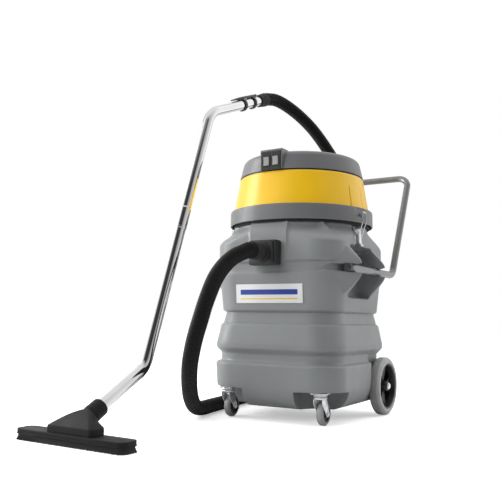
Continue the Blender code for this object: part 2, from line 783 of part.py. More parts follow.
def build_rocker(word, side):
    """A rocker that tips about a sideways axis in its well."""
    half_w, half_h = ROCKER_SIZE[0] / 2, ROCKER_SIZE[1] / 2
    points = []
    for x in (-half_w, half_w):
        points += [(x, -0.0055, half_h), (x, -0.0032, 0.0), (x, -0.0045, -half_h)]
        points += [(x, 0.0045, -half_h + 0.004), (x, 0.0045, half_h - 0.004)]
    rocker = hull(f"switch_rocker_{word}", points, "pale")
    rocker.location = (side * ROCKER_X, BOX_FRONT_Y, SWITCH_Z)


def build_motor(word, side):
    """A bypass motor: fan housing below, field and brush gear above."""
    floor = HEAD_LOW + 0.004 + GAP
    profile = (
        (0.0, 0.150),
        (0.012, 0.150),
        (0.014, 0.135),
        (0.042, 0.130),
        (0.045, 0.062),
        (0.068, 0.055),
        (0.070, 0.004),
        (0.060, 0.0),
        (0.0, 0.0),
    )
    place = (side * 0.088, 0.0, floor)
    turned(f"motor_{word}", profile, "dark_grey", closed=False, steps=24, place=place)


def build_float_and_filter():
    """Float cage under the head, its ball, and the cartridge filter round it."""
    top = HEAD_LOW - GAP
    cage = (
        (0.066, top),
        (0.066, top - 0.004),
        (0.050, top - 0.004),
        (0.050, 0.536),
        (0.018, 0.536),
        (0.018, 0.540),
        (0.046, 0.540),
        (0.046, top),
    )
    float_cage = turned("float_cage", cage, "black", steps=32)
    slots = []
    for i in range(3):
        across = box(f"cage_slot_{i}", (-0.080, -0.014, 0.556), (0.080, 0.014, 0.636))
        across.rotation_euler = (0, 0, i * math.pi / 3)
        slots.append(across)
    cut(float_cage, *slots)
    work = bmesh.new()
    bmesh.ops.create_uvsphere(work, u_segments=20, v_segments=12, radius=0.030)
    ball = add_object("float_ball", mesh_from("float_ball", work), "pale")
    ball.location = (0.0, 0.0, 0.5660)
    outer, inner = 0.110, 0.075
    cartridge = (
        (0.0, 0.518),
        (inner, 0.518),
        (inner, top),
        (outer + 0.006, top),
        (outer + 0.006, top - 0.008),
        (outer, top - 0.010),
        (outer, 0.512),
        (0.0, 0.512),
    )
    turned("filter_cartridge", cartridge, "pale", closed=False, steps=40)


def build_gland():
    """The cable inlet at the back of the rim."""
    start, end = (0.0, HEAD_RADIUS + GAP, 0.690), (0.0, HEAD_RADIUS + 0.024, 0.690)
    cylinder("cable_gland", start, end, 0.013, "black", end_radius=0.010)


# ---- hose, wand and floor tool -------------------------------------------------------------
def wand_point(pair):
    """A (y, z) pair in the wand's plane."""
    return Vector((WAND_X, pair[0], pair[1]))


def wand_ring(name, at, along, half_length, inner, outer, colour=None):
    """A collar round the wand."""
    profile = ((outer, half_length), (outer, -half_length), (inner, -half_length), (inner, half_length))
    return turned(name, profile, colour, place=at, axis=along, steps=24)


def build_wand():
    """Lower and upper chrome tubes and the suction regulator near the top end."""
    foot, knee = wand_point(WAND_FOOT), wand_point(WAND_KNEE)
    shoulder, end = wand_point(WAND_SHOULDER), wand_point(WAND_END)
    share = (WAND_JOINT_Z - knee.z) / (shoulder.z - knee.z)
    joint = knee.lerp(shoulder, share)
    up = (shoulder - knee).normalized()
    lower = filleted([foot, knee, joint], 0.075)
    tube_curve("wand_lower", lower, WAND_RADIUS, "steel", 3)
    upper = filleted([joint + up * GAP, shoulder, end], 0.100)
    wand = tube_mesh("wand_upper", upper, WAND_RADIUS, "steel", 3)
    middle = joint + up * (0.040 + GAP)
    sleeve = wand_ring("wand_joint_sleeve", middle, up, 0.040, 0.010, WAND_RADIUS + 0.0012)
    join(wand, sleeve)
    along = (end - shoulder).normalized()
    inner, outer = WAND_RADIUS + 0.0006, WAND_RADIUS + 0.0052
    rings = []
    for label, back in (("near", 0.128), ("far", 0.054)):
        place = end - along * back
        rings.append(wand_ring(f"regulator_ring_{label}", place, along, 0.006, inner, outer))
    above = along.cross(Vector((1, 0, 0))).normalized()
    above = above if above.z > 0 else -above
    points = []
    for back, low, high in ((0.192, 0.0225, 0.0265), (0.128, 0.0200, 0.0300), (0.016, 0.0200, 0.0290)):
        for height in (low, high):
            for x in (-0.008, 0.008):
                points.append(end - along * back + above * height + Vector((x, 0, 0)))
    slider = hull("suction_regulator", points, "black")
    join(slider, *rings)
    bore = cylinder("regulator_bore", end - along * 0.150, end + along * 0.030, inner, segments=24)
    cut(slider, bore)


def build_hose():
    """The free hose between the inlet and the wand, with a cuff at each end."""
    end, shoulder = wand_point(WAND_END), wand_point(WAND_SHOULDER)
    along = (end - shoulder).normalized()
    start = Vector((0.0, INLET_FACE_Y - GAP, INLET_Z))
    cuff_end = start + Vector((0.0, -CUFF_LENGTH, 0.0))
    cylinder("hose_inlet_cuff", start, cuff_end, CUFF_RADIUS, "black", 24, CUFF_RADIUS - 0.001)
    top_start = end + along * GAP
    top_cuff_end = end + along * CUFF_LENGTH
    near, far = CUFF_RADIUS - 0.005, CUFF_RADIUS - 0.002
    cylinder("hose_wand_cuff", top_start, top_cuff_end, near, "black", 24, far)
    first = cuff_end + Vector((0.0, -GAP, 0.0))
    last = top_cuff_end + along * GAP
    route = [first + Vector((0.0, -HOSE_STRAIGHT, 0.0)), *HOSE_ROUTE, last + along * HOSE_STRAIGHT]
    points = [first, *smooth_route(route, HOSE_SPACING), last]
    tube_curve("hose", points, HOSE_RADIUS, "black", 2)


def build_floor_tool():
    """Wide nozzle body with a brush skirt, and the hood that leads to the wand."""
    half, deep = TOOL_LENGTH / 2, TOOL_DEPTH / 2
    body = box(
        "floor_tool_body",
        (WAND_X - half, TOOL_Y - deep, TOOL_LOW),
        (WAND_X + half, TOOL_Y + deep, TOOL_HIGH),
        "black",
    )
    bevel(body, 0.003)
    skirt = box(
        "floor_tool_brush",
        (WAND_X - half + 0.003, TOOL_Y - deep + 0.003, 0.0),
        (WAND_X + half - 0.003, TOOL_Y + deep - 0.003, TOOL_LOW - GAP),
        "dark_grey",
    )
    mouth = box(
        "floor_tool_mouth",
        (WAND_X - half + 0.016, TOOL_Y - deep + 0.018, -0.010),
        (WAND_X + half - 0.016, TOOL_Y + deep - 0.018, 0.030),
    )
    cut(skirt, mouth)
    foot = wand_point(WAND_FOOT)
    axis = (wand_point(WAND_KNEE) - foot).normalized()
    side_way, over = Vector((1, 0, 0)), Vector((1, 0, 0)).cross(axis)
    sections = (
        (Vector((WAND_X, TOOL_Y - 0.012, TOOL_HIGH + 0.0120)), 0.090, 0.0105, 0.0),
        (Vector((WAND_X, TOOL_Y + 0.016, 0.0530)), 0.070, 0.0200, 0.35),
        (foot - axis * 0.030, 0.032, 0.0260, 0.9),
        (foot - axis * 0.022, 0.0255, 0.0255, 1.0),
        (foot - axis * GAP, 0.0255, 0.0255, 1.0),
    )
    rings = []
    for centre, wide, tall, turn in sections:
        up_way = Vector((0, 0, 1)).lerp(over, turn).normalized()
        ring = []
        for i in range(16):
            angle = 2 * math.pi * (i + 0.5) / 16
            ring.append(centre + side_way * wide * math.cos(angle) + up_way * tall * math.sin(angle))
        rings.append(ring)
    hood = loft("floor_tool_hood", rings, "black")
    floor = box("hood_floor_cut", (-0.500, -1.000, -0.050), (0.100, -0.700, TOOL_HIGH + GAP))
    cut(hood, floor)


def smooth_shading():
    """Shades round pieces smooth and keeps their edges sharp."""
    for piece in PARTS.objects:
        if piece.type == "MESH" and piece.data.polygons:
            piece.data.shade_smooth()
            piece.data.set_sharp_from_angle(angle=math.radians(35))


def build():
    """Builds the whole machine."""
    build_tank()
    build_inlet()
    build_handle()
    build_axle()
    for word, side in SIDES:
        build_latch(word, side)
        build_rear_wheel(word, side)
        build_caster(word, side)
        build_rocker(word, side)
        build_motor(word, side)
    build_head_shells()
    build_float_and_filter()
    build_gland()
    build_wand()
    build_hose()
    build_floor_tool()
    smooth_shading()


build()
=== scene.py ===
"""The looks of a wet and dry shop vacuum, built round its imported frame.

Metres, +Z up. Sizes are given in the machine's own axes: the origin lies on the floor under the
tank's axis, the inlet faces -Y and the handle stands at +Y. PLACE takes them to the frame's axes.
"""

import logging
import math
from dataclasses import dataclass
from enum import Enum

import bmesh
import bpy
import numpy as np
from mathutils import Matrix, Vector
from numpy.typing import ArrayLike


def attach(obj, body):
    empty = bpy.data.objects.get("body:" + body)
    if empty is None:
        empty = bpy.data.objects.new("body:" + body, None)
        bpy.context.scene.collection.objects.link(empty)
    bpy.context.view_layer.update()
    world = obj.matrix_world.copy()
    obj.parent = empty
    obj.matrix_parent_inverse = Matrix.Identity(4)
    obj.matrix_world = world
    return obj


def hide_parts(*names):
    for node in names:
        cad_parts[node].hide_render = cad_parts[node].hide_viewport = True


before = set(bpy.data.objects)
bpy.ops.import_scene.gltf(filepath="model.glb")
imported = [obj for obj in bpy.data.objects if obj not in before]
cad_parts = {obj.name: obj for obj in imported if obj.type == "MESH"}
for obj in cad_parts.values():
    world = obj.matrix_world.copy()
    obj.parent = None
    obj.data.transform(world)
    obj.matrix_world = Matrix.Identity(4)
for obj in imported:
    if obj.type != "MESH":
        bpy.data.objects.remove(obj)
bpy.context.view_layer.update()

Array = np.ndarray
PLACE = np.array((0.064, 0.2135, 0.0))
LOG = logging.getLogger("shop_vacuum")
SIDES = (("left", -1.0), ("right", 1.0))
X_AXIS, Y_AXIS, Z_AXIS = np.eye(3)
ORIGIN = np.zeros(3)
GAP = 0.0003  # the clearance between neighbouring parts
LATCH_Y = -0.045  # both latches and their catches
FLOOR_TONE = 0.93


# ---- shapes --------------------------------------------------------------------------------
def unit(vector: Array) -> Array:
    """Returns a vector of length one, or a stack of them."""
    return vector / np.linalg.norm(vector, axis=-1, keepdims=True)


def smooth_step(value: Array) -> Array:
    """Returns 3v^2 - 2v^3 with v held between 0 and 1."""
    held = np.clip(value, 0.0, 1.0)
    return held * held * (3.0 - 2.0 * held)


def soft_min(first: Array, second: Array, blend: float) -> Array:
    """Returns the smaller of two, rounded where they meet over a width of blend."""
    share = np.clip(0.5 + 0.5 * (second - first) / blend, 0.0, 1.0)
    return second * (1.0 - share) + first * share - blend * share * (1.0 - share)


def soft_max(first: Array, second: Array, blend: float) -> Array:
    """Returns the larger of two, rounded where they meet over a width of blend."""
    return -soft_min(-first, -second, blend)


def eased(corners: ArrayLike, reach: ArrayLike, steps: int = 5, closed: bool = False) -> Array:
    """Rounds the corners of a line.

    A corner C becomes the curve (1-t)^2 A + 2t(1-t) C + t^2 B, where A and B lie on the two legs,
    reach away from C and never more than 0.45 of a leg.

    Args:
        corners: the line's corners, (n, 2) or (n, 3).
        reach: one distance, or one for each corner.
        steps: pieces in each curve.
        closed: whether the last corner joins the first.

    Returns:
        The points of the rounded line.
    """
    points = np.asarray(corners, float)
    back, ahead = np.roll(points, 1, 0) - points, np.roll(points, -1, 0) - points
    back_length = np.linalg.norm(back, axis=1, keepdims=True) + 1e-12
    ahead_length = np.linalg.norm(ahead, axis=1, keepdims=True) + 1e-12
    wanted = np.broadcast_to(np.asarray(reach, float).reshape(-1, 1), (len(points), 1))
    away = np.minimum(wanted, 0.45 * np.minimum(back_length, ahead_length))
    start, end = points + back / back_length * away, points + ahead / ahead_length * away
    t = np.linspace(0.0, 1.0, steps + 1)[None, :, None]
    curve = (1 - t) ** 2 * start[:, None] + 2 * t * (1 - t) * points[:, None]
    curve = curve + t**2 * end[:, None]
    if closed:
        return curve.reshape(-1, points.shape[1])
    return np.vstack((points[:1], curve[1:-1].reshape(-1, points.shape[1]), points[-1:]))


def filleted(corners: ArrayLike, radius: float, steps: int = 10) -> Array:
    """Rounds a bent tube's corners by true arcs.

    On each corner the arc's point at share s is
    centre + (first sin((1-s)w) + last sin(sw)) / sin w, where first and last point from the centre
    to the arc's ends and w is the angle between them.

    Args:
        corners: the corners of the tube's axis, (n, 3).
        radius: the bend radius.
        steps: pieces in each arc.

    Returns:
        The points of the axis.
    """
    points = np.asarray(corners, float)
    back, ahead = unit(points[:-2] - points[1:-1]), unit(points[2:] - points[1:-1])
    half = np.arccos(np.clip((back * ahead).sum(1, keepdims=True), -1, 1)) / 2
    centre = points[1:-1] + unit(back + ahead) * radius / np.sin(half)
    first = points[1:-1] + back * radius / np.tan(half) - centre
    last = points[1:-1] + ahead * radius / np.tan(half) - centre
    turn = (math.pi - 2 * half)[:, None]
    share = np.linspace(0.0, 1.0, steps + 1)[None, :, None]
    arcs = first[:, None] * np.sin((1 - share) * turn) + last[:, None] * np.sin(share * turn)
    arcs = centre[:, None] + arcs / np.sin(turn)
    return np.vstack((points[:1], arcs.reshape(-1, 3), points[-1:]))


def smooth_route(route: Array, spacing: float) -> Array:
    """Reads points at an even spacing from a Catmull-Rom curve through the route's points.

    Args:
        route: the points that the curve passes, (n, 3).
        spacing: the distance wanted between the points that are read.

    Returns:
        The points, evenly spaced along the curve.
    """
    knots = np.vstack((2 * route[0] - route[1], route, 2 * route[-1] - route[-2]))
    a, b, c, d = (knots[i : len(knots) - 3 + i, None] for i in range(4))
    t = (np.arange(24) / 24)[None, :, None]
    fine = 0.5 * (2 * b + (c - a) * t + (2 * a - 5 * b + 4 * c - d) * t**2
                  + (3 * b - 3 * c + d - a) * t**3)
    fine = np.vstack((fine.reshape(-1, 3), knots[-2:-1]))
    return evenly(fine, round(length_of(fine) / spacing))


def length_of(points: Array) -> float:
    """Returns the length of a line of points."""
    return float(np.linalg.norm(np.diff(points, axis=0), axis=1).sum())


def evenly(points: Array, count: int) -> Array:
    """Reads a line at even distances.

    Args:
        points: the line's points, (n, 3).
        count: how many equal steps to take.

    Returns:
        The count + 1 points at the ends of the steps.
    """
    steps = np.linalg.norm(np.diff(points, axis=0), axis=1)
    along = np.concatenate(([0.0], np.cumsum(steps)))
    wanted = np.linspace(0.0, along[-1], count + 1)
    return np.stack([np.interp(wanted, along, points[:, k]) for k in range(3)], axis=1)


def across(axis: Array) -> tuple[Array, Array]:
    """Finds two directions at right angles to an axis and to each other.

    Args:
        axis: the axis, of length one.

    Returns:
        The two directions.
    """
    other = X_AXIS if abs(axis[0]) < 0.9 else Y_AXIS
    side = unit(np.cross(axis, other))
    return side, np.cross(axis, side)


def turned(profile: Array, steps: int, centre: ArrayLike, axis: ArrayLike = Z_AXIS) -> Array:
    """Spins a profile about an axis: point = centre + h axis + r (cos a side + sin a up).

    Args:
        profile: (radius, height) pairs, (k, 2).
        steps: columns round the axis.
        centre: where height 0 lies.
        axis: the direction of growing height.

    Returns:
        A grid of points, (k, steps, 3).
    """
    axis = unit(np.asarray(axis, float))
    side, up = across(axis)
    angle = np.linspace(0.0, 2 * math.pi, steps, endpoint=False)[None, :, None]
    radius, height = profile[:, 0, None, None], profile[:, 1, None, None]
    round_axis = radius * (np.cos(angle) * side + np.sin(angle) * up)
    return np.asarray(centre) + height * axis + round_axis


def frames_along(path: Array) -> tuple[Array, Array, Array]:
    """Carries a pair of cross directions along a path with as little twist as can be.

    Args:
        path: points of the path, (n, 3).

    Returns:
        The tangents and the two cross directions, each (n, 3).
    """
    tangent = unit(np.gradient(path, axis=0))
    side = np.empty_like(path)
    side[0] = across(tangent[0])[0]
    for i in range(1, len(path)):
        carried = side[i - 1] - tangent[i] * (side[i - 1] @ tangent[i])
        side[i] = carried / np.linalg.norm(carried)
    return tangent, side, np.cross(tangent, side)


def swept(path: Array, radius: float | Array, steps: int) -> Array:
    """Carries a circle along a path: point = path + r (cos a side + sin a up).

    Args:
        path: points of the path, (n, 3).
        radius: one radius, or one for each point of the path.
        steps: columns round the path.

    Returns:
        A grid of points, (n, steps, 3).
    """
    _, side, up = frames_along(path)
    angle = np.linspace(0.0, 2 * math.pi, steps, endpoint=False)[None, :, None]
    reach = np.broadcast_to(np.asarray(radius, float), (len(path),))[:, None, None]
    return path[:, None] + reach * (np.cos(angle) * side[:, None] + np.sin(angle) * up[:, None])


def rounded_rectangle(
    half: tuple[ArrayLike, ArrayLike], corner: ArrayLike, inset: ArrayLike, arc: int = 6
) -> Array:
    """Draws rounded rectangles, each set in from the first by its own distance.

    A corner's point is its centre + r (cos a, sin a), with r no smaller than 0.2 mm.

    Args:
        half: half the width and half the height.
        corner: the corner radius of the one with no inset.
        inset: how far each rectangle is set in, (k,).
        arc: pieces in each corner.

    Returns:
        Points, (k, 4 (arc + 1), 2).
    """
    inset = np.asarray(inset, float)[:, None]
    quarters = np.arange(4)[:, None] + np.linspace(0, 1, arc + 1)[None, :]
    angle = quarters.reshape(1, -1) * math.pi / 2
    radius = np.maximum(corner - inset, 0.0002)
    sign_x = np.repeat((1, -1, -1, 1), arc + 1)[None, :]
    sign_y = np.repeat((1, 1, -1, -1), arc + 1)[None, :]
    x = sign_x * (half[0] - inset - radius) + radius * np.cos(angle)
    y = sign_y * (half[1] - inset - radius) + radius * np.sin(angle)
    return np.stack((x, y), axis=-1)


def block(
    centre: ArrayLike, half: ArrayLike, corner: float, edge: float, axis: ArrayLike = Z_AXIS,
    side: ArrayLike = X_AXIS,
) -> Array:
    """Makes a block with rounded upright corners and rounded edges.

    Its outline is a rounded rectangle in the plane across the axis. Towards each end it is set
    in by edge (1 - sin w) at the height half - edge (1 - cos w), w from 0 to 90 degrees.

    Args:
        centre: the block's middle.
        half: half sizes along side, across both, and along the axis.
        corner: radius of the upright corners.
        edge: radius of the edges at both ends.
        axis: the direction through the block.
        side: the direction of the first half size.

    Returns:
        A grid of points, rows from one end to the other.
    """
    axis, side = unit(np.asarray(axis, float)), unit(np.asarray(side, float))
    over = np.cross(axis, side)
    turn = np.linspace(0.0, math.pi / 2, 4)
    inset = edge * (1 - np.sin(turn))
    height = half[2] - edge * (1 - np.cos(turn))
    inset = np.concatenate((inset, inset[::-1]))
    height = np.concatenate((-height, height[::-1]))
    outline = rounded_rectangle((half[0], half[1]), corner, inset)
    grid = outline[..., :1] * side + outline[..., 1:] * over
    return np.asarray(centre) + grid + height[:, None, None] * axis


def prism(
    outline: Array, half: float, edge: float, centre: ArrayLike, side: ArrayLike, up: ArrayLike
) -> Array:
    """Gives an outline a thickness, its two faces drawn in by edge where they end.

    Args:
        outline: points of the outline, (n, 2).
        half: half the thickness.
        edge: how far the faces are drawn in, and the height over which that happens.
        centre: where the outline's (0, 0) lies at mid thickness.
        side: the direction of the outline's first number.
        up: the direction of its second.

    Returns:
        A grid of points, rows from one face to the other.
    """
    side, up = unit(np.asarray(side, float)), unit(np.asarray(up, float))
    axis = np.cross(side, up)
    middle = outline.mean(0)
    size = np.abs(outline - middle).max()
    share = np.array((1 - edge / size, 1 - 0.3 * edge / size, 1.0))
    share = np.concatenate((share, share[::-1]))
    height = np.array((half, half - 0.3 * edge, half - edge))
    height = np.concatenate((-height, height[::-1]))
    drawn = middle + (outline - middle)[None] * share[:, None, None]
    grid = drawn[..., :1] * side + drawn[..., 1:] * up
    return np.asarray(centre) + grid + height[:, None, None] * axis


# ---- finishes ------------------------------------------------------------------------------
class Pattern(Enum):
    """How the small relief of a surface runs."""

    GRAIN = "grain"
    BRUSHED = "brushed"
    PLEATED = "pleated"


@dataclass(frozen=True)
class Finish:
    """A surface finish: colour, gloss, small relief and slow changes of tone."""

    name: str
    slot: str
    colour: tuple[float, float, float]
    roughness: float
    metallic: float = 0.0
    pattern: Pattern = Pattern.GRAIN
    relief_size: float = 0.0012
    relief: float = 0.15
    tone: float = 0.05
    tone_size: float = 0.12
    gloss_change: float = 0.06
    coat: float = 0.0
    specular: float = 0.5

    def material(self) -> bpy.types.Material:
        """Returns the finish's material, made once and then shared."""
        known = bpy.data.materials.get(self.name)
        return known if known is not None else self._make()

    def _make(self) -> bpy.types.Material:
        """Builds the node tree: object coordinates feed the tone, gloss and relief noises."""
        made = bpy.data.materials.new(self.name)
        made.use_nodes = True
        tree = made.node_tree
        shader = tree.nodes["Principled BSDF"]
        shader.inputs["Metallic"].default_value = self.metallic
        shader.inputs["Coat Weight"].default_value = self.coat
        shader.inputs["Specular IOR Level"].default_value = self.specular
        shader.inputs["Coat Roughness"].default_value = 0.12
        where = tree.nodes.new("ShaderNodeTexCoord").outputs["Object"]
        self._add_tone(tree, shader, where)
        self._add_gloss(tree, shader, where)
        self._add_relief(tree, shader, where)
        return made

    def _noise(
        self, tree: bpy.types.NodeTree, where: bpy.types.NodeSocket, size: float, detail: float
    ) -> bpy.types.NodeSocket:
        """Adds a noise whose features are about size across.

        Args:
            tree: the material's nodes.
            where: the coordinates to read.
            size: feature size in metres.
            detail: octaves of finer noise.

        Returns:
            The noise value's socket.
        """
        noise = tree.nodes.new("ShaderNodeTexNoise")
        noise.inputs["Scale"].default_value = 1.0 / size
        noise.inputs["Detail"].default_value = detail
        noise.inputs["Roughness"].default_value = 0.55
        tree.links.new(where, noise.inputs["Vector"])
        return noise.outputs["Fac"]

    def _add_tone(
        self, tree: bpy.types.NodeTree, shader: bpy.types.Node, where: bpy.types.NodeSocket
    ) -> None:
        """Lets the colour drift between a darker and a lighter tone.

        Args:
            tree: the material's nodes.
            shader: the node that it feeds.
            where: the coordinates to read.
        """
        ramp = tree.nodes.new("ShaderNodeValToRGB")
        for stop, place, factor in zip(ramp.color_ramp.elements, (0.35, 0.65), (-1, 1)):
            stop.position = place
            stop.color = (*[min(1.0, c * (1 + factor * self.tone)) for c in self.colour], 1.0)
        tree.links.new(self._noise(tree, where, self.tone_size, 3.0), ramp.inputs["Fac"])
        tree.links.new(ramp.outputs["Color"], shader.inputs["Base Color"])

    def _add_gloss(
        self, tree: bpy.types.NodeTree, shader: bpy.types.Node, where: bpy.types.NodeSocket
    ) -> None:
        """Lets the roughness vary a little either side of its mean.

        Args:
            tree: the material's nodes.
            shader: the node that it feeds.
            where: the coordinates to read.
        """
        span = tree.nodes.new("ShaderNodeMapRange")
        span.inputs["From Min"].default_value = 0.3
        span.inputs["From Max"].default_value = 0.7
        span.inputs["To Min"].default_value = max(0.02, self.roughness - self.gloss_change)
        span.inputs["To Max"].default_value = min(1.0, self.roughness + self.gloss_change)
        tree.links.new(self._noise(tree, where, self.tone_size * 0.3, 4.0), span.inputs["Value"])
        tree.links.new(span.outputs["Result"], shader.inputs["Roughness"])

    def _add_relief(
        self, tree: bpy.types.NodeTree, shader: bpy.types.Node, where: bpy.types.NodeSocket
    ) -> None:
        """Raises the fine grain, brush marks or pleats of the surface.

        Args:
            tree: the material's nodes.
            shader: the node that it feeds.
            where: the coordinates to read.
        """
        stretch = {
            Pattern.GRAIN: (1.0, 1.0, 1.0),
            Pattern.BRUSHED: (1.0, 1.0, 0.04),
            Pattern.PLEATED: (1.0, 1.0, 0.02),
        }[self.pattern]
        mapping = tree.nodes.new("ShaderNodeMapping")
        mapping.inputs["Scale"].default_value = stretch
        tree.links.new(where, mapping.inputs["Vector"])
        bump = tree.nodes.new("ShaderNodeBump")
        bump.inputs["Strength"].default_value = self.relief
        bump.inputs["Distance"].default_value = self.relief_size * 0.35
        height = self._noise(tree, mapping.outputs["Vector"], self.relief_size, 2.0)
        tree.links.new(height, bump.inputs["Height"])
        tree.links.new(bump.outputs["Normal"], shader.inputs["Normal"])


TANK_GREY = Finish("tank_grey", "grey_tank", (0.235, 0.245, 0.250), 0.42, relief_size=0.0016,
                   relief=0.10, tone=0.035, tone_size=0.16)
HEAD_GREY = Finish("head_grey", "grey_head", (0.155, 0.157, 0.162), 0.40, relief_size=0.0010,
                   relief=0.07, tone=0.03)
YELLOW = Finish("cover_yellow", "yellow_cover", (0.900, 0.540, 0.014), 0.34, relief_size=0.0010,
                relief=0.05, tone=0.025, gloss_change=0.04)
BLACK_PLASTIC = Finish("black_plastic", "black_plastic", (0.012, 0.012, 0.012), 0.44,
                       relief_size=0.0007, relief=0.12, tone=0.15, specular=0.26)
BLACK_RUBBER = Finish("black_rubber", "black_rubber", (0.012, 0.012, 0.012), 0.62,
                      relief_size=0.0009, relief=0.18, tone=0.2, specular=0.25)
TOOL_BLACK = Finish("tool_black", "black_plastic", (0.014, 0.014, 0.014), 0.55,
                    relief_size=0.0007, relief=0.12, tone=0.12, specular=0.12)
HOSE_BLACK = Finish("hose_black", "black_hose", (0.008, 0.008, 0.008), 0.42, relief_size=0.0010,
                    relief=0.10, tone=0.2, specular=0.14)
HANDLE_GREY = Finish("handle_steel", "grey_steel", (0.240, 0.240, 0.242), 0.36, metallic=0.7,
                     relief_size=0.0030, relief=0.02)
CHROME = Finish("chrome", "bright_steel", (0.760, 0.760, 0.765), 0.07, metallic=1.0,
                relief_size=0.004, relief=0.01, tone=0.03, gloss_change=0.03)
ZINC = Finish("zinc_plate", "zinc", (0.760, 0.770, 0.780), 0.34, metallic=0.85,
              relief_size=0.0012, relief=0.08, tone=0.08, tone_size=0.02)
TREAD_GREY = Finish("tread_grey", "grey_tread", (0.330, 0.330, 0.330), 0.60, relief_size=0.0008,
                    relief=0.14, tone=0.10, tone_size=0.03)
TYRE_GREY = Finish("tyre_grey", "grey_tread", (0.400, 0.400, 0.402), 0.58, relief_size=0.0010,
                   relief=0.20, tone=0.12, tone_size=0.05)
LABEL_WHITE = Finish("label_white", "label_white", (0.640, 0.650, 0.665), 0.35,
                     relief_size=0.0015, relief=0.02, tone=0.02)
LABEL_BLUE = Finish("label_blue", "label_white", (0.020, 0.050, 0.300), 0.35,
                    relief_size=0.0015, relief=0.02, tone=0.03)
LABEL_YELLOW = Finish("label_yellow", "label_white", (0.850, 0.640, 0.030), 0.35,
                      relief_size=0.0015, relief=0.02, tone=0.03)
SWITCH_PALE = Finish("switch_pale", "pale_switch", (0.330, 0.330, 0.325), 0.30,
                     relief_size=0.0008, relief=0.05, tone=0.04, coat=0.2)
FILTER_CLOTH = Finish("filter_cloth", "filter_cloth", (0.600, 0.580, 0.500), 0.85,
                      pattern=Pattern.PLEATED, relief_size=0.0045, relief=0.9, tone=0.08)
MOTOR_GREY = Finish("motor_housing", "motor_housing", (0.100, 0.100, 0.105), 0.45, metallic=0.7,
                    pattern=Pattern.BRUSHED, relief_size=0.0020, relief=0.2, tone=0.1)


# ---- pieces --------------------------------------------------------------------------------
class Piece:
    """Collects closed skins, then makes them one dressed piece that rides on a body."""

    def __init__(self, name: str) -> None:
        """Starts an empty piece.

        Args:
            name: the piece's name.
        """
        self.name = name
        self._points: list[Array] = []
        self._faces: list[list[int]] = []
        self._paint: list[int] = []
        self._count = 0

    def add(self, grid: Array, ring: bool = False, paint: int = 0) -> "Piece":
        """Adds a skin whose columns close round.

        Each cell of the grid becomes a quad. The first and last rows are closed by one face each,
        unless the rows close round too.

        Args:
            grid: points, (rows, columns, 3), in the machine's axes.
            ring: whether the last row joins the first.
            paint: which of the piece's finishes it takes.

        Returns:
            The piece itself.
        """
        rows, columns = grid.shape[:2]
        at = np.arange(rows * columns).reshape(rows, columns) + self._count
        near, far = (at, np.roll(at, -1, 0)) if ring else (at[:-1], at[1:])
        quads = np.stack((near, np.roll(near, -1, 1), np.roll(far, -1, 1), far), axis=-1)
        faces = quads.reshape(-1, 4).tolist()
        if not ring:
            faces += [at[0, ::-1].tolist(), at[-1].tolist()]
        self._points.append(grid.reshape(-1, 3))
        self._faces += faces
        self._paint += [paint] * len(faces)
        self._count += rows * columns
        return self

    def lathe(
        self, outline: ArrayLike, reach: ArrayLike, steps: int, columns: int, centre: ArrayLike,
        axis: ArrayLike = Z_AXIS, ring: bool = False, paint: int = 0,
    ) -> "Piece":
        """Adds a turned skin whose outline is eased first.

        Args:
            outline: (radius, height) pairs.
            reach: how far from its corners the outline bends.
            steps: pieces in each bend.
            columns: columns round the axis.
            centre: where height 0 lies.
            axis: the direction of growing height.
            ring: whether the outline closes on itself.
            paint: which of the piece's finishes it takes.

        Returns:
            The piece itself.
        """
        profile = eased(outline, reach, steps, ring)
        return self.add(turned(profile, columns, centre, axis), ring, paint)

    def slab(
        self, outline: ArrayLike, reach: ArrayLike, steps: int, half: float, edge: float,
        centre: ArrayLike, side: ArrayLike = Y_AXIS, up: ArrayLike = Z_AXIS,
    ) -> "Piece":
        """Adds a plate whose closed outline is eased first.

        Args:
            outline: (side, up) pairs.
            reach: how far from its corners the outline bends.
            steps: pieces in each bend.
            half: half the thickness.
            edge: how far the faces are drawn in.
            centre: where the outline's (0, 0) lies at mid thickness.
            side: the direction of the outline's first number.
            up: the direction of its second.

        Returns:
            The piece itself.
        """
        return self.add(prism(eased(outline, reach, steps, True), half, edge, centre, side, up))

    def dress(
        self, finish: Finish | tuple[Finish, ...], body: str, *nodes: str, sharp: float = 38.0
    ) -> bpy.types.Object:
        """Makes the mesh, gives it its finish and puts it on its body.

        Args:
            finish: the finish, or several for skins of different paint.
            body: the body that it rides on.
            nodes: the frame's nodes that it stands for.
            sharp: edges that turn by more than this many degrees stay sharp.

        Returns:
            The finished object.
        """
        finishes = finish if isinstance(finish, tuple) else (finish,)
        mesh = bpy.data.meshes.new(self.name)
        mesh.from_pydata(np.vstack(self._points) + PLACE, [], self._faces)
        mesh.polygons.foreach_set("material_index", np.array(self._paint, np.int32))
        for one in finishes:
            mesh.materials.append(one.material())
        work = bmesh.new()
        work.from_mesh(mesh)
        bmesh.ops.remove_doubles(work, verts=work.verts, dist=0.000002)
        bmesh.ops.recalc_face_normals(work, faces=work.faces)
        work.to_mesh(mesh)
        work.free()
        mesh.shade_smooth()
        mesh.set_sharp_from_angle(angle=math.radians(sharp))
        made = bpy.data.objects.new(self.name, mesh)
        bpy.context.scene.collection.objects.link(made)
        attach(made, body)
        if nodes:
            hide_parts(*nodes)
        LOG.info("%s: %d faces on %s", self.name, len(mesh.polygons), body)
        return made


def dress_node(name: str, finish: Finish) -> None:
    """Gives a frame node that stays in view its finish.

    Args:
        name: the node's name.
        finish: its finish.
    """
    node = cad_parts[name]
    node.data.materials.clear()
    node.data.materials.append(finish.material())
    LOG.info("%s: frame node, %s", name, finish.name)


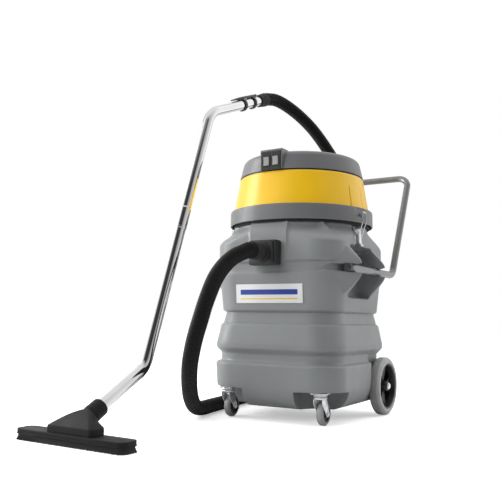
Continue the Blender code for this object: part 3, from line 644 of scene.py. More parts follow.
# ---- tank ----------------------------------------------------------------------------------
@dataclass
class Tank:
    """The moulded tank, its inlet block and its label."""

    mouth_radius: float = 0.236
    mouth_top: float = 0.660
    corner: float = 0.100
    rear_extra: float = 0.016
    wall: float = 0.006
    belly_z: float = 0.045
    column_end: float = 0.2107
    pocket_y: tuple[float, float] = (-0.110, 0.075)
    pocket_z: tuple[float, float] = (0.416, 0.578)
    pocket_floor: float = 0.187
    pocket_flare: float = 0.124
    bar_z: float = 0.504
    lip_gap: float = 0.031
    latch_y: float = LATCH_Y
    notch_centre: tuple[float, float] = (0.174, -0.200)
    notch_radius: float = 0.078
    notch_top: float = 0.1045
    pad: tuple[float, float, float, float] = (0.069, -0.243, 0.5285, 0.648)
    inlet_z: float = 0.552
    inlet_face: float = -0.290

    def outline_at(self, z: Array) -> tuple[Array, Array, Array]:
        """Reads the section's half width, corner radius and rear allowance at some heights.

        The half width follows an eased line through the bands; the corner radius grows by a
        smooth step from the shoulder to the round mouth, and the rear allowance fades with it.

        Args:
            z: heights, growing.

        Returns:
            Half widths, corner radii and rear allowances.
        """
        bands = np.array((
            (0.045, 0.185), (0.054, 0.210), (0.074, 0.2300), (0.105, 0.2400), (0.1865, 0.2435),
            (0.194, 0.2295), (0.219, 0.2295), (0.236, 0.2425), (0.252, 0.2425), (0.3165, 0.2315),
            (0.327, 0.2165), (0.356, 0.2165), (0.3635, 0.2275), (0.4870, 0.2375), (0.4935, 0.2315),
            (0.5215, 0.2315), (0.5275, 0.2400), (0.600, 0.2400), (0.648, self.mouth_radius),
            (self.mouth_top, self.mouth_radius),
        ))
        reach = np.full(len(bands), 0.0042)
        reach[[1, 2, 3, 17, 18]] = (0.004, 0.012, 0.020, 0.020, 0.012)
        line = eased(bands, reach, 8)
        half = np.interp(z, line[:, 0], line[:, 1])
        growth = smooth_step((z - 0.588) / 0.064)
        shrink = smooth_step((0.110 - z) / 0.065)
        radius = self.corner + (self.mouth_radius - self.corner) * growth - 0.030 * shrink
        return half, np.minimum(radius, half), self.rear_extra * (1 - growth)

    def columns(self) -> tuple[Array, Array]:
        """Returns the lateral places of the columns on a side wall and on an end wall."""
        fine_y = (-0.2000, -0.1300, -0.1215, -0.1160, -0.1110, -0.0675, -0.0225, 0.0695, 0.0760,
                  0.0820, 0.0880, 0.1500)
        fine_x = (-0.174, -0.096, -0.0685, 0.0685, 0.096, 0.174)
        offsets = np.array((-0.003, -0.0015, 0.0, 0.0015, 0.003))
        last = self.column_end
        even = np.arange(-last, last + 0.0001, 0.0062)
        side = np.concatenate((even, *[y + offsets for y in fine_y]))
        end = np.concatenate((np.linspace(-last, last, 54), *[x + offsets for x in fine_x]))
        return self.thinned(side, 0.0011), self.thinned(end, 0.0011)

    def thinned(self, values: Array, least: float) -> Array:
        """Sorts values and keeps one in each cell of a given width, with the last of all.

        Args:
            values: places or heights, in any order.
            least: the width of a cell.

        Returns:
            The values kept, growing.
        """
        cells = np.round(np.sort(values) / least).astype(int)
        _, first = np.unique(cells, return_index=True)
        kept = np.sort(values)[first]
        return np.concatenate((kept[:-1], [values.max()]))

    def rows(self, inside: bool) -> Array:
        """Lists the heights of the grid's rows.

        Args:
            inside: whether they are for the inner wall.

        Returns:
            The heights, growing.
        """
        if inside:
            heights = (0.051, 0.080, 0.109, 0.1115, 0.129, 0.1335, 0.195, 0.220, 0.2245, 0.260,
                       0.300, 0.360, 0.405, 0.409, 0.412, 0.440, 0.480, 0.520, 0.560, 0.582,
                       0.586, 0.590, 0.610, 0.630, 0.645, self.mouth_top - 0.0015)
            return np.array(heights)
        offsets = np.array((-0.0036, -0.0018, 0.0, 0.0018, 0.0036))
        marks = (0.1045, 0.1260, 0.1280, 0.1885, 0.1925, 0.2170, 0.2200, 0.236, 0.252, 0.3165,
                 0.3270, 0.356, 0.3635, 0.4090, 0.4145, 0.4300, 0.4865, 0.4900, 0.5200, 0.5265,
                 0.5780, 0.5850, 0.5890, 0.6480)
        last = self.mouth_top - 0.0015
        even = np.arange(self.belly_z, self.mouth_top, 0.0078)
        rows = np.concatenate((even, *[mark + offsets for mark in marks], [last]))
        return self.thinned(rows[(rows >= self.belly_z) & (rows <= last)], 0.0013)

    def base_walls(self, z: Array, grow: float) -> Array:
        """Draws the plain tank: a rounded square whose corners grow round at the mouth.

        A side wall's point is (half - r + sqrt(r^2 - over^2), y), where over is how far y lies
        past the flat; the end walls are the same with x and y exchanged. Columns beyond 0.12 m
        on a side wall and 0.10 m on an end wall are stretched so that the last of them lies on
        the corner's 45 degree point.

        Args:
            z: heights of the rows.
            grow: how much thinner the tank is drawn, for its inner wall.

        Returns:
            A grid of points, (rows, columns, 3).
        """
        half, radius, extra = (value[:, None] for value in self.outline_at(z))
        half, radius = half - grow, np.maximum(radius - grow, 0.02)
        middle = half - radius + radius * math.sqrt(0.5)
        side, end = (place[None, :] for place in self.columns())

        def stretched(place: Array, fixed: float, rear: Array | float) -> Array:
            """Returns the columns' places in every row, spread evenly past the fixed part."""
            beyond = np.clip(np.abs(place) - fixed, 0, None)
            limit = middle + np.where(place > 0, rear, 0.0)
            reach = beyond * (limit - fixed) / (self.column_end - fixed)
            return np.sign(place) * (np.minimum(np.abs(place), fixed) + reach)

        y = stretched(side, 0.120, extra)
        over = np.clip(np.abs(y) - (half - radius) - np.where(y > 0, extra, 0.0), 0, radius)
        x = half - radius + np.sqrt(radius**2 - over**2)
        across_x = stretched(end, 0.100, 0.0)
        over = np.clip(np.abs(across_x) - (half - radius), 0, radius)
        depth = half - radius + np.sqrt(radius**2 - over**2)
        xs = (x[:, :-1], -across_x[:, :-1], -x[:, :0:-1], across_x[:, :-1])
        ys = (y[:, :-1], (depth + extra)[:, :-1], y[:, :0:-1], -depth[:, :-1])
        flat = np.stack((np.hstack(xs), np.hstack(ys)), axis=-1)
        height = np.broadcast_to(z[:, None, None], (*flat.shape[:2], 1))
        return np.concatenate((flat, height), axis=-1)

    def jaws(self, y: Array, z: Array) -> Array:
        """Gives how far out the four jaws stand: each is the least of four sloping planes.

        With s the distance from the pocket's wall and t the distance from the jaw's lip, the
        planes are 0.3058 - s - 0.484 t, 0.2940 - 0.905 t, 0.2885 - 0.3 t and 0.3015 - 0.909 s.
        Inside the lip, the plane falls steeply into the groove.

        Args:
            y: places along the wall.
            z: heights.

        Returns:
            Distances from the tank's middle plane.
        """
        s = np.maximum(self.pocket_y[0] - y, y - self.pocket_y[1])
        t = np.abs(z - self.bar_z) - self.lip_gap / 2
        lifted = np.maximum(t, 0.0)
        body = soft_min(0.3058 - s - 0.484 * lifted, 0.2940 - 0.905 * lifted, 0.006)
        body = soft_min(body, 0.2885 - 0.3 * lifted, 0.006)
        body = soft_min(body, 0.3015 - 0.909 * s, 0.006)
        body = np.where(s < -0.020, 0.0, body)
        return soft_min(body, 0.284 + 13.0 * (t + 0.0006), 0.004)

    def box_distance(self, u: Array, v: Array, low: Array, high: Array, corner: float) -> Array:
        """Measures how far places lie outside a rounded rectangle; within it they are negative.

        Args:
            u: the places' first coordinate.
            v: their second.
            low: the rectangle's lowest corner.
            high: its highest.
            corner: its corner radius.

        Returns:
            The distances.
        """
        middle, half = (low + high) / 2, (high - low) / 2 - corner
        du, dv = np.abs(u - middle[0]) - half[0], np.abs(v - middle[1]) - half[1]
        outside = np.hypot(np.maximum(du, 0), np.maximum(dv, 0))
        return outside + np.minimum(np.maximum(du, dv), 0) - corner

    def shaped(self, points: Array, grow: float) -> Array:
        """Works the pockets, jaws, recesses, notches and arches into the plain walls.

        Every feature is a lower or an upper limit on one coordinate, joined to the wall by a
        rounded minimum or maximum.

        Args:
            points: the plain walls.
            grow: how much further in the features lie, for the inner wall.

        Returns:
            The grid with its features.
        """
        x, y, z = points[..., 0].copy(), points[..., 1].copy(), points[..., 2].copy()
        side = np.abs(x) > np.abs(y) * 0.86
        out = np.abs(x)
        if grow == 0.0:
            out = np.where(side, soft_max(out, np.where(side, self.jaws(y, z), 0.0), 0.003), out)
        low = np.array((self.pocket_y[0] - grow, self.pocket_z[0] - grow))
        high = np.array((self.pocket_y[1] + grow, self.pocket_z[1] + grow))
        away = soft_max(self.box_distance(y, z, low, high, 0.010), np.zeros_like(y), 0.003)
        pocket = self.pocket_floor - grow + away / self.pocket_flare
        low = np.array((self.latch_y - 0.021 - grow, 0.586 - grow))
        high = np.array((self.latch_y + 0.021 + grow, 0.760))
        away = soft_max(self.box_distance(y, z, low, high, 0.004), np.zeros_like(y), 0.002)
        recess = 0.226 - grow + away * 7.0
        limit = soft_min(pocket, recess, 0.004)
        out = np.where(side, soft_min(out, limit, 0.028 if grow == 0.0 else 0.005), out)
        arch = 0.213 - grow + 15 * np.maximum(0.070 - grow - y, 0)
        arch = arch + 15 * np.maximum(z - 0.216 - grow, 0)
        out = np.where(side, soft_min(out, arch, 0.003), out)
        x = np.sign(x) * out
        if grow == 0.0:
            half_x, face, bottom, top = self.pad
            low, high = np.array((-half_x, bottom)), np.array((half_x, top + 0.030))
            away = np.maximum(self.box_distance(x, z, low, high, 0.006), 0.0)
            face = face + 0.008 * smooth_step((z - top + 0.030) / 0.040)
            y = np.where(y < -0.15, soft_min(y, face + 1.5 * away, 0.006), y)
        x, y = self.notched(x, y, z, grow)
        channel = 0.150 - grow + 60 * np.maximum(z - 0.125 - grow, 0)
        y = soft_min(y, channel, 0.003)
        return np.stack((x, y, z), axis=-1)

    def notched(self, x: Array, y: Array, z: Array, grow: float) -> tuple[Array, Array]:
        """Pushes the front corners in over the casters.

        Below the notch's roof, each wall point moves along the ray from a point outside the
        corner until it meets the notch: two straight walls joined by a quarter circle.

        Args:
            x: places across.
            y: places along.
            z: heights.
            grow: how much larger the notch is, for the inner wall.

        Returns:
            The moved places.
        """
        centre_x, centre_y = self.notch_centre
        radius = self.notch_radius + grow
        wall_x, wall_y = centre_x - radius, centre_y + radius
        from_x, from_y = 0.246, -0.246
        across_x, down = np.abs(x) - from_x, y - from_y
        inside = (np.abs(x) > wall_x) & (y < wall_y)
        reach_x = (wall_x - from_x) / np.minimum(across_x, -1e-9)
        reach_y = (wall_y - from_y) / np.maximum(down, 1e-9)
        reach = np.minimum(reach_x, reach_y)
        hit_x, hit_y = from_x + reach * across_x, from_y + reach * down
        rounded = (hit_x < centre_x) & (hit_y > centre_y)
        off_x, off_y = from_x - centre_x, from_y - centre_y
        a = across_x**2 + down**2
        b = across_x * off_x + down * off_y
        c = off_x**2 + off_y**2 - radius**2
        on_circle = (-b + np.sqrt(np.maximum(b * b - a * c, 0))) / a
        reach = np.where(rounded, on_circle, reach)
        share = smooth_step((self.notch_top + grow + 0.0010 - z) / 0.0020)
        share = np.where(inside, share, 0.0)
        moved_x = np.abs(x) + share * (from_x + reach * across_x - np.abs(x))
        moved_y = y + share * (from_y + reach * down - y)
        return np.sign(x) * moved_x, moved_y

    def build_tank(self) -> bpy.types.Object:
        """Makes the tank as one closed skin: outer wall, lip, inner wall and both bottoms."""
        outer = self.shaped(self.base_walls(self.rows(False), 0.0), 0.0)
        inner = self.shaped(self.base_walls(self.rows(True), self.wall), self.wall)
        lip = np.concatenate((outer[-1:], inner[-1:]))
        lip[..., 2] = self.mouth_top
        lip[..., :2] *= np.array((0.9955, 1.0055))[:, None, None]
        belly = self.bottom(outer[:1], self.belly_z)
        floor = self.bottom(inner[:1], self.belly_z + self.wall)
        grid = np.concatenate((belly, outer, lip, inner[::-1], floor[::-1]))
        return Piece("tank_shell").add(grid).dress(TANK_GREY, "chassis", "tank", sharp=40.0)

    def bottom(self, ring: Array, height: float) -> Array:
        """Draws a bottom as rings that shrink towards a point: ring times 0, 0.3 and 0.7.

        Args:
            ring: the wall's lowest row.
            height: the height of the bottom.

        Returns:
            Three rows, from the point outwards.
        """
        middle = np.array((0.0, -0.01, height))
        share = np.array((0.0, 0.3, 0.7))[:, None, None]
        return middle + (ring - middle) * share

    def build_inlet(self) -> bpy.types.Object:
        """Makes the square inlet block: flange, raised front, stepped edge and its spigot."""
        piece = Piece("inlet_block")
        front, z = -Y_AXIS, self.inlet_z
        face, back = self.inlet_face, -0.2433
        deep = (back - face) / 2
        middle = np.array((0.0, (face + back) / 2, z))
        flange = (0.0505, 0.0405, deep - 0.004)
        piece.add(block(middle + (0, 0.004, 0), flange, 0.006, 0.0015, front))
        piece.add(block(middle, (0.0440, 0.0375, deep), 0.009, 0.003, front))
        for depth in (-0.252, -0.262, -0.272):
            piece.add(block((0.0, depth, z), (0.0515, 0.0412, 0.0020), 0.006, 0.0012, front))
        collar = ((0.0, 0.0), (0.0345, 0.0), (0.0345, 0.0080), (0.0, 0.0080))
        piece.lathe(collar, 0.0015, 5, 48, (0.0, face + 0.001, z), front)
        spigot = np.array(((0.0, 0.0), (0.028, 0.0), (0.028, 0.030), (0.0, 0.030)))
        piece.add(turned(spigot, 32, (0.0, -0.226, z), front))
        return piece.dress(BLACK_PLASTIC, "chassis", "inlet_flange")

    def build_label(self) -> bpy.types.Object:
        """Makes the plain label: a pale plate with a blue band and a thin yellow line."""
        piece = Piece("label")
        lean = math.atan(0.08)
        out = np.array((0.0, -math.cos(lean), -math.sin(lean)))
        up = np.cross(out, X_AXIS)
        middle = np.array((0.0, -0.2335, 0.41915))
        for paint, (lift, rise, wide, high) in enumerate((
            (0.0002, 0.0, 0.126, 0.0316), (0.0007, 0.0050, 0.108, 0.0085),
            (0.0007, -0.0170, 0.108, 0.0018),
        )):
            centre = middle + out * lift + up * rise
            piece.add(block(centre, (wide, high, 0.0006), 0.002, 0.0002, out), paint=paint)
        return piece.dress((LABEL_WHITE, LABEL_BLUE, LABEL_YELLOW), "chassis", "label_plate")

    def build(self) -> None:
        """Builds and dresses all of it."""
        self.build_tank()
        self.build_inlet()
        self.build_label()
        dress_node("inlet_deflector", BLACK_PLASTIC)


# ---- head ----------------------------------------------------------------------------------
@dataclass
class Head:
    """The lift-off head: rim, seal, yellow cover, cap, switches and cable gland."""

    low: float = 0.664
    rim_top: float = 0.717
    radius: float = 0.257
    catch_y: float = LATCH_Y
    cover: tuple[float, float, float] = (0.2437, 0.2238, 0.8344)
    shell: float = 0.003
    slit_angles: tuple[float, float] = (-19.0, -2.0)
    slit_depth: float = 0.0024
    slit_spread: float = 0.36
    panel_rise: float = 0.0008
    notch_angles: tuple[float, float] = (-17.5, -6.0)
    notch_heights: tuple[float, float] = (0.7040, 0.7110)
    notch_depth: float = 0.003
    cap_low: float = 0.8396
    box_front: float = -0.2275
    switch_z: float = 0.868
    rocker_x: float = 0.0175
    columns: int = 180

    def spun(self, profile: ArrayLike, reach: ArrayLike) -> Array:
        """Eases a closed profile's corners and spins it about the machine's axis."""
        return turned(eased(profile, reach, 4, closed=True), self.columns, ORIGIN)

    def build_rim(self) -> bpy.types.Object:
        """Makes the rim dish with its two catches and the notches over them.

        The outer wall is drawn in by 3 mm times a window in height and angle over each latch.
        """
        r, low, top = self.radius, self.low, self.rim_top
        grid = self.spun((
            (r - 0.0015, top), (r - 0.0004, 0.7105), (r - 0.0003, 0.7045), (r, low),
            (r - 0.004, low), (r - 0.0055, top - 0.004), (0.239, top - 0.004), (0.239, low),
            (0.024, low), (0.024, low + 0.004), (0.235, low + 0.004), (0.235, top),
        ), (0.003, 0.0003, 0.0003, 0.003, *[0.001] * 8))
        angle = np.degrees(np.arctan2(grid[..., 1], np.abs(grid[..., 0])))
        window = np.hypot(grid[..., 0], grid[..., 1]) > r - self.notch_depth
        limits = ((angle, self.notch_angles), (grid[..., 2], self.notch_heights))
        for value, (least, most) in limits:
            window &= (value > least) & (value < most)
        grid[..., :2] *= np.where(window, 1 - self.notch_depth / r, 1.0)[..., None]
        piece = Piece("rim_dish").add(grid, ring=True)
        for _, side in SIDES:
            catch = (side * 0.2535, self.catch_y, 0.690)
            piece.add(block(catch, (0.0045, 0.011, 0.004), 0.002, 0.001))
        return piece.dress(HEAD_GREY, "head", "head_base")

    def build_cover(self) -> bpy.types.Object:
        """Makes the yellow cover, a cone with two slits either side of a panel at each latch.

        The radius falls evenly with height. Each slit takes away 2.4 exp(-(a / 0.36)^2) mm, a
        being the degrees from its middle, and fades out at its top; the panel between them
        stands 0.8 mm proud.
        """
        low_radius, top_radius, top = self.cover
        low = self.rim_top + GAP
        near = np.arange(-24.0, 6.0, 0.22)
        far = np.arange(6.0, 156.0, 2.0)
        angle = np.radians(np.concatenate((near, far, near + 180, far + 180)))
        z = np.concatenate((
            [low, low + 0.0015], np.linspace(low + 0.004, 0.790, 14),
            np.linspace(0.793, 0.802, 6), np.linspace(0.808, top - 0.0015, 5), [top],
        ))
        share = (z - low) / (top - low)
        radius = low_radius + (top_radius - low_radius) * share - 0.0012 * (z >= top)
        radius = radius[:, None] + np.zeros_like(angle)
        folded = np.degrees(np.arctan2(np.sin(angle), np.abs(np.cos(angle))))
        fade = smooth_step((0.800 - z) / 0.020)[:, None]
        first, last = self.slit_angles
        within = smooth_step((folded - first) / 0.5) * smooth_step((last - folded) / 0.5)
        away = [(folded - place) / self.slit_spread for place in self.slit_angles]
        cuts = sum(np.exp(-(value**2)) for value in away)
        outer = radius + fade * (self.panel_rise * within - self.slit_depth * cuts)[None, :]
        inner = radius[::-1] - self.shell

        def ring(reach: Array, heights: Array) -> Array:
            """Returns rows round the axis at the given radii and heights."""
            flat = np.stack((reach * np.cos(angle), reach * np.sin(angle)), axis=-1)
            rise = np.broadcast_to(heights[:, None, None], (*reach.shape, 1))
            return np.concatenate((flat, rise), axis=-1)

        grid = np.concatenate((ring(outer, z), ring(inner, z[::-1])))
        return Piece("yellow_cover").add(grid, ring=True).dress(YELLOW, "head", "motor_cover")

    def build_cap(self) -> bpy.types.Object:
        """Makes the cap with its rounded edge and the switch box that stands in its front."""
        top_radius, low, front = self.cover[1], self.cap_low, self.box_front
        piece = Piece("cap_with_switch_box").lathe((
            (0.0, 0.9075), (0.1950, 0.9055), (0.2060, 0.9000), (0.2114, 0.8920), (top_radius, low),
            (top_radius - 0.003, low), (0.2084, 0.8920), (0.1940, 0.9025), (0.0, 0.9045),
        ), (0, 0.012, 0.006, 0.006, 0.001, 0.001, 0.004, 0.006, 0), 5, self.columns, ORIGIN)
        piece.slab((
            (front, low), (front - 0.0004, 0.9090), (-0.2000, 0.9100), (-0.1500, 0.9070),
            (-0.1500, 0.9045), (-0.1950, 0.8800), (-0.1950, low),
        ), (0.001, 0.003, 0.004, 0.001, 0.001, 0.004, 0.001), 4, 0.042, 0.002, ORIGIN)
        return piece.dress(HEAD_GREY, "head", "top_cap")

    def build_seals(self) -> None:
        """Makes the black seal under the rim and the black ring of painted shade in the gap under
        the cap.
        """
        top, low, high = self.low - GAP, self.cover[2] + GAP, self.cap_low - GAP
        seal = ((0.2450, top), (0.2445, 0.6570), (0.2400, 0.6560), (0.2385, 0.6603),
                (0.2240, 0.6603), (0.2240, top))
        # painted shade: a black ring that darkens the gap between the yellow cover and the cap
        ring = ((0.2210, high), (0.2210, low), (0.2080, low), (0.2080, high))
        for name, outline, reach, finish, node in (
            ("rim_seal", seal, 0.0012, BLACK_RUBBER, "head_seal"),
            ("shadow_ring", ring, 0.0008, BLACK_PLASTIC, "cap_gap_ring"),
        ):
            Piece(name).add(self.spun(outline, reach), ring=True).dress(finish, "head", node)

    def frame_round(
        self, centre: ArrayLike, half: tuple[float, float], window: tuple[float, float],
        deep: float,
    ) -> Array:
        """Makes a flat frame: its outline, its face, the edge of its window and its back.

        Args:
            centre: the frame's middle.
            half: half its width and height.
            window: half the window's width and height.
            deep: half its thickness.

        Returns:
            A closed grid of points.
        """
        steps = ((half, 0.003, 1.0, 0.0), (half, 0.003, -0.6, 0.0), (half, 0.003, -1.0, 0.0008),
                 (window, 0.0015, -1.0, -0.0008), (window, 0.0015, -0.5, 0.0),
                 (window, 0.0015, 1.0, 0.0))
        rows = []
        for size, corner, depth, inset in steps:
            flat = rounded_rectangle(size, corner, (inset,))[0]
            rise = np.full(len(flat), depth * deep)
            rows.append(np.stack((flat[:, 0], rise, flat[:, 1]), axis=-1) + centre)
        return np.stack(rows)

    def build_switches(self) -> None:
        """Makes the switch plate with its two windows, and the rockers in them."""
        piece = Piece("switch_plate")
        back = self.box_front
        front, middle_z = back - 0.0028, 0.8695
        for _, side in SIDES:
            centre = (side * 0.019, (front + back - GAP) / 2, middle_z)
            frame_grid = self.frame_round(centre, (0.0192, 0.0325), (0.0120, 0.0170), 0.00125)
            piece.add(frame_grid, ring=True)
            centre = (side * self.rocker_x, front - 0.0002, self.switch_z)
            frame_grid = self.frame_round(centre, (0.0150, 0.0200), (0.01090, 0.01590), 0.0016)
            piece.add(frame_grid, ring=True)
        sheet = (0.0370, 0.0318, 0.0003)
        piece.add(block((0.0, back - 0.0004, middle_z), sheet, 0.002, 0.0001, Y_AXIS))
        piece.dress(BLACK_PLASTIC, "head", "switch_bezel")
        side_view = ((-0.0055, 0.01525), (-0.0036, 0.004), (-0.0036, -0.004),
                     (-0.0045, -0.01525), (0.0040, -0.01125), (0.0040, 0.01125))
        reach = (0.0012, 0.006, 0.006, 0.0012, 0.001, 0.001)
        for word, side in SIDES:
            place = (side * self.rocker_x, back, self.switch_z)
            rocker = Piece(f"rocker_{word}").slab(side_view, reach, 4, 0.01025, 0.0010, place)
            rocker.dress(SWITCH_PALE, f"rocker_{word}", f"switch_rocker_{word}")

    def build_gland(self) -> bpy.types.Object:
        """Makes the cable gland: a collar, then five rings on a taper."""
        steps = np.arange(5)
        low = np.stack((0.0118 - 0.0005 * steps, 0.0062 + 0.0034 * steps), axis=-1)
        high = low + (-0.0014, 0.0018)
        rings = np.stack((low, low + (0.0, 0.0014), high, high + (0.0, 0.0010)), axis=1)
        outline = np.vstack(((0.0, 0.0), (0.013, 0.0), (0.013, 0.005), rings.reshape(-1, 2),
                             (0.0086, 0.024), (0.0050, 0.024), (0.0050, 0.020), (0.0, 0.020)))
        start = (0.0, self.radius + GAP, 0.690)
        piece = Piece("cable_entry").lathe(outline, 0.0005, 2, 32, start, Y_AXIS)
        return piece.dress(BLACK_RUBBER, "head", "cable_gland")

    def build(self) -> None:
        """Builds and dresses the whole head."""
        self.build_rim()
        self.build_cover()
        self.build_cap()
        self.build_seals()
        self.build_switches()
        self.build_gland()


@dataclass
class InnerWorks:
    """What the head carries inside: two motors, the float in its cage and the filter."""

    top: float = 0.6637
    motor_x: float = 0.088
    motor_floor: float = 0.6683
    filter_radius: float = 0.110
    filter_inside: float = 0.075
    pleats: int = 60

    def build_motors(self) -> None:
        """Makes the two suction motors: fan housing, ribbed frame and brush cap."""
        ribs = [(0.0445 - 0.0025 * (i % 2), 0.066 + 0.0045 * i) for i in range(13)]
        outline = ((0.0, 0.0), (0.060, 0.0), (0.070, 0.004), (0.0695, 0.028), (0.0675, 0.030),
                   (0.0690, 0.032), (0.068, 0.055), (0.050, 0.061), *ribs,
                   (0.042, 0.130), (0.014, 0.135), (0.012, 0.150), (0.0, 0.150))
        for word, side in SIDES:
            place = (side * self.motor_x, 0.0, self.motor_floor)
            piece = Piece(f"suction_motor_{word}").lathe(outline, 0.0012, 2, 64, place)
            piece.dress(MOTOR_GREY, "head", f"motor_{word}")

    def build_float(self) -> None:
        """Makes the hollow ball that shuts the intake; its radius is even but for a seam."""
        share = np.linspace(0.0, math.pi, 33)
        radius = 0.0300 * np.sin(share)
        radius = radius + 0.0003 * np.exp(-(((share - math.pi / 2) / 0.05) ** 2))
        outline = np.stack((np.maximum(radius, 0.0), 0.0300 * np.cos(share)), axis=-1)
        grid = turned(outline, 48, (0.0, 0.0, 0.566))
        Piece("float_sphere").add(grid).dress(SWITCH_PALE, "float", "float_ball")

    def build_filter(self) -> None:
        """Makes the cartridge: pleats between two moulded end rings.

        The pleated wall's radius is 0.1065 + 0.0025 cos(60 a), inside 0.078 + 0.0025 cos(60 a).
        """
        out, inside, top = self.filter_radius, self.filter_inside, self.top
        angle = np.linspace(0, 2 * math.pi, self.pleats * 6, endpoint=False)
        wave = 0.0025 * np.cos(self.pleats * angle)
        grid = np.stack([
            np.stack(((r + wave) * np.cos(angle), (r + wave) * np.sin(angle),
                      np.full_like(angle, z)), axis=-1)
            for r, z in ((out - 0.0035, 0.518), (out - 0.0035, top - 0.009),
                         (inside + 0.003, top - 0.009), (inside + 0.003, 0.518))
        ])
        piece = Piece("filter_element").add(grid, ring=True)
        cup = ((0.0, 0.512), (out, 0.512), (out, 0.520), (0.0, 0.520))
        piece.lathe(cup, 0.0015, 3, 96, ORIGIN, paint=1)
        collar = ((inside, top), (out + 0.006, top), (out + 0.006, top - 0.008),
                  (out, top - 0.012), (inside, top - 0.012))
        piece.lathe(collar, 0.0012, 3, 96, ORIGIN, ring=True, paint=1)
        piece.dress((FILTER_CLOTH, BLACK_RUBBER), "head", "filter_cartridge")

    def build(self) -> None:
        """Builds and dresses all of it."""
        self.build_motors()
        self.build_float()
        self.build_filter()
        dress_node("float_cage", BLACK_PLASTIC)


# ---- latches -------------------------------------------------------------------------------
@dataclass
class Latch:
    """One toggle latch: bracket and pin on the tank, lever, and wire hook."""

    word: str
    side: float
    y: float = LATCH_Y
    recess_x: float = 0.226
    lever_pivot: tuple[float, float] = (0.2400, 0.640)
    hook_pivot: tuple[float, float] = (0.2475, 0.618)

    def at(self, x: float, y: float, z: float) -> Array:
        """Returns a point of this side, y counted from the latch's middle."""
        return np.array((self.side * x, self.y + y, z))

    @property
    def out(self) -> Array:
        """The direction out of the tank's side."""
        return self.side * X_AXIS

    def build_bracket(self) -> None:
        """Makes the bracket with its two ears, its rivets and the lever's pin."""
        piece = Piece(f"latch_plate_{self.word}")
        centre = self.at(self.recess_x + 0.0014, 0.0, 0.623)
        piece.add(block(centre, (0.015, 0.027, 0.0011), 0.003, 0.0004, self.out, Y_AXIS))
        ear = ((0.0, -0.009), (0.010, -0.009), (0.0165, -0.004), (0.0165, 0.004),
               (0.010, 0.008), (0.0, 0.008))
        for y in (-0.01375, 0.01375):
            piece.slab(ear, 0.003, 4, 0.00125, 0.0004, self.at(0.2272, y, 0.639), self.out)
        rivet = ((0.0, -0.001), (0.0032, -0.001), (0.0032, 0.0004), (0.0020, 0.0013), (0.0, 0.0015))
        for y in (-0.0095, 0.0095):
            centre = self.at(self.recess_x + 0.0025, y, 0.602)
            piece.lathe(rivet, 0.0006, 3, 16, centre, self.out)
        x, z = self.lever_pivot
        pin = ((0.0, -0.0165), (0.0028, -0.0165), (0.0028, -0.0155), (0.0020, -0.0152),
               (0.0020, 0.0152), (0.0028, 0.0155), (0.0028, 0.0165), (0.0, 0.0165))
        piece.lathe(pin, 0.0003, 2, 20, self.at(x, 0.0, z), Y_AXIS)
        piece.dress(ZINC, "chassis", f"latch_bracket_{self.word}")

    def build_lever(self) -> None:
        """Makes the bright lever: a channel with side flanges and a lip curled outwards."""
        x, z = self.lever_pivot
        piece = Piece(f"lever_{self.word}")
        strip = ((-0.0040, 0.0050), (0.0040, 0.0050), (0.0085, -0.0120), (0.0085, -0.0440),
                 (0.0150, -0.0530), (0.0134, -0.0548), (0.0055, -0.0480), (0.0050, -0.0120),
                 (-0.0020, -0.0060))
        reach = (0.004, 0.004, 0.008, 0.010, 0.001, 0.001, 0.008, 0.004, 0.003)
        piece.slab(strip, reach, 6, 0.0102, 0.0005, self.at(x, 0.0, z), self.out)
        flange = ((-0.0060, 0.0045), (0.0040, 0.0055), (0.0092, -0.0120), (0.0092, -0.0440),
                  (0.0135, -0.0525), (0.0060, -0.0500), (0.0010, -0.0380), (-0.0055, -0.0100))
        reach = (0.004, 0.004, 0.008, 0.008, 0.001, 0.006, 0.010, 0.008)
        for y in (-0.0110, 0.0110):
            piece.slab(flange, reach, 6, 0.0009, 0.0004, self.at(x, y, z), self.out)
        lip = ((0.0, -0.0112), (0.0020, -0.0112), (0.0020, 0.0112), (0.0, 0.0112))
        piece.lathe(lip, 0.0008, 3, 16, self.at(x + 0.0140, 0.0, z - 0.0533), Y_AXIS)
        hook_x, hook_z = self.hook_pivot
        pin = np.array(((0.0, -0.0128), (0.0016, -0.0128), (0.0016, 0.0128), (0.0, 0.0128)))
        piece.add(turned(pin, 16, self.at(hook_x, 0.0, hook_z), Y_AXIS))
        piece.dress(ZINC, f"latch_lever_{self.word}", f"latch_lever_{self.word}")

    def build_hook(self) -> None:
        """Makes the wire hook: two legs from the lever, and the bar across at the catch."""
        x, z = self.hook_pivot
        half = 0.014
        leg = ((x, z), (0.2620, 0.664), (0.2620, 0.700))
        corners = [self.at(a, -half, b) for a, b in leg]
        corners += [self.at(a, half, b) for a, b in leg[::-1]]
        piece = Piece(f"hook_{self.word}").add(swept(filleted(corners, 0.004, 6), 0.0014, 12))
        eye = ((0.0017, -0.0014), (0.0040, -0.0014), (0.0040, 0.0014), (0.0017, 0.0014))
        for y in (-half, half):
            piece.lathe(eye, 0.0006, 3, 20, self.at(x, y, z), Y_AXIS, ring=True)
        piece.dress(CHROME, f"latch_hook_{self.word}", f"latch_hook_{self.word}")

    def build(self) -> None:
        """Builds and dresses the latch."""
        self.build_bracket()
        self.build_lever()
        self.build_hook()


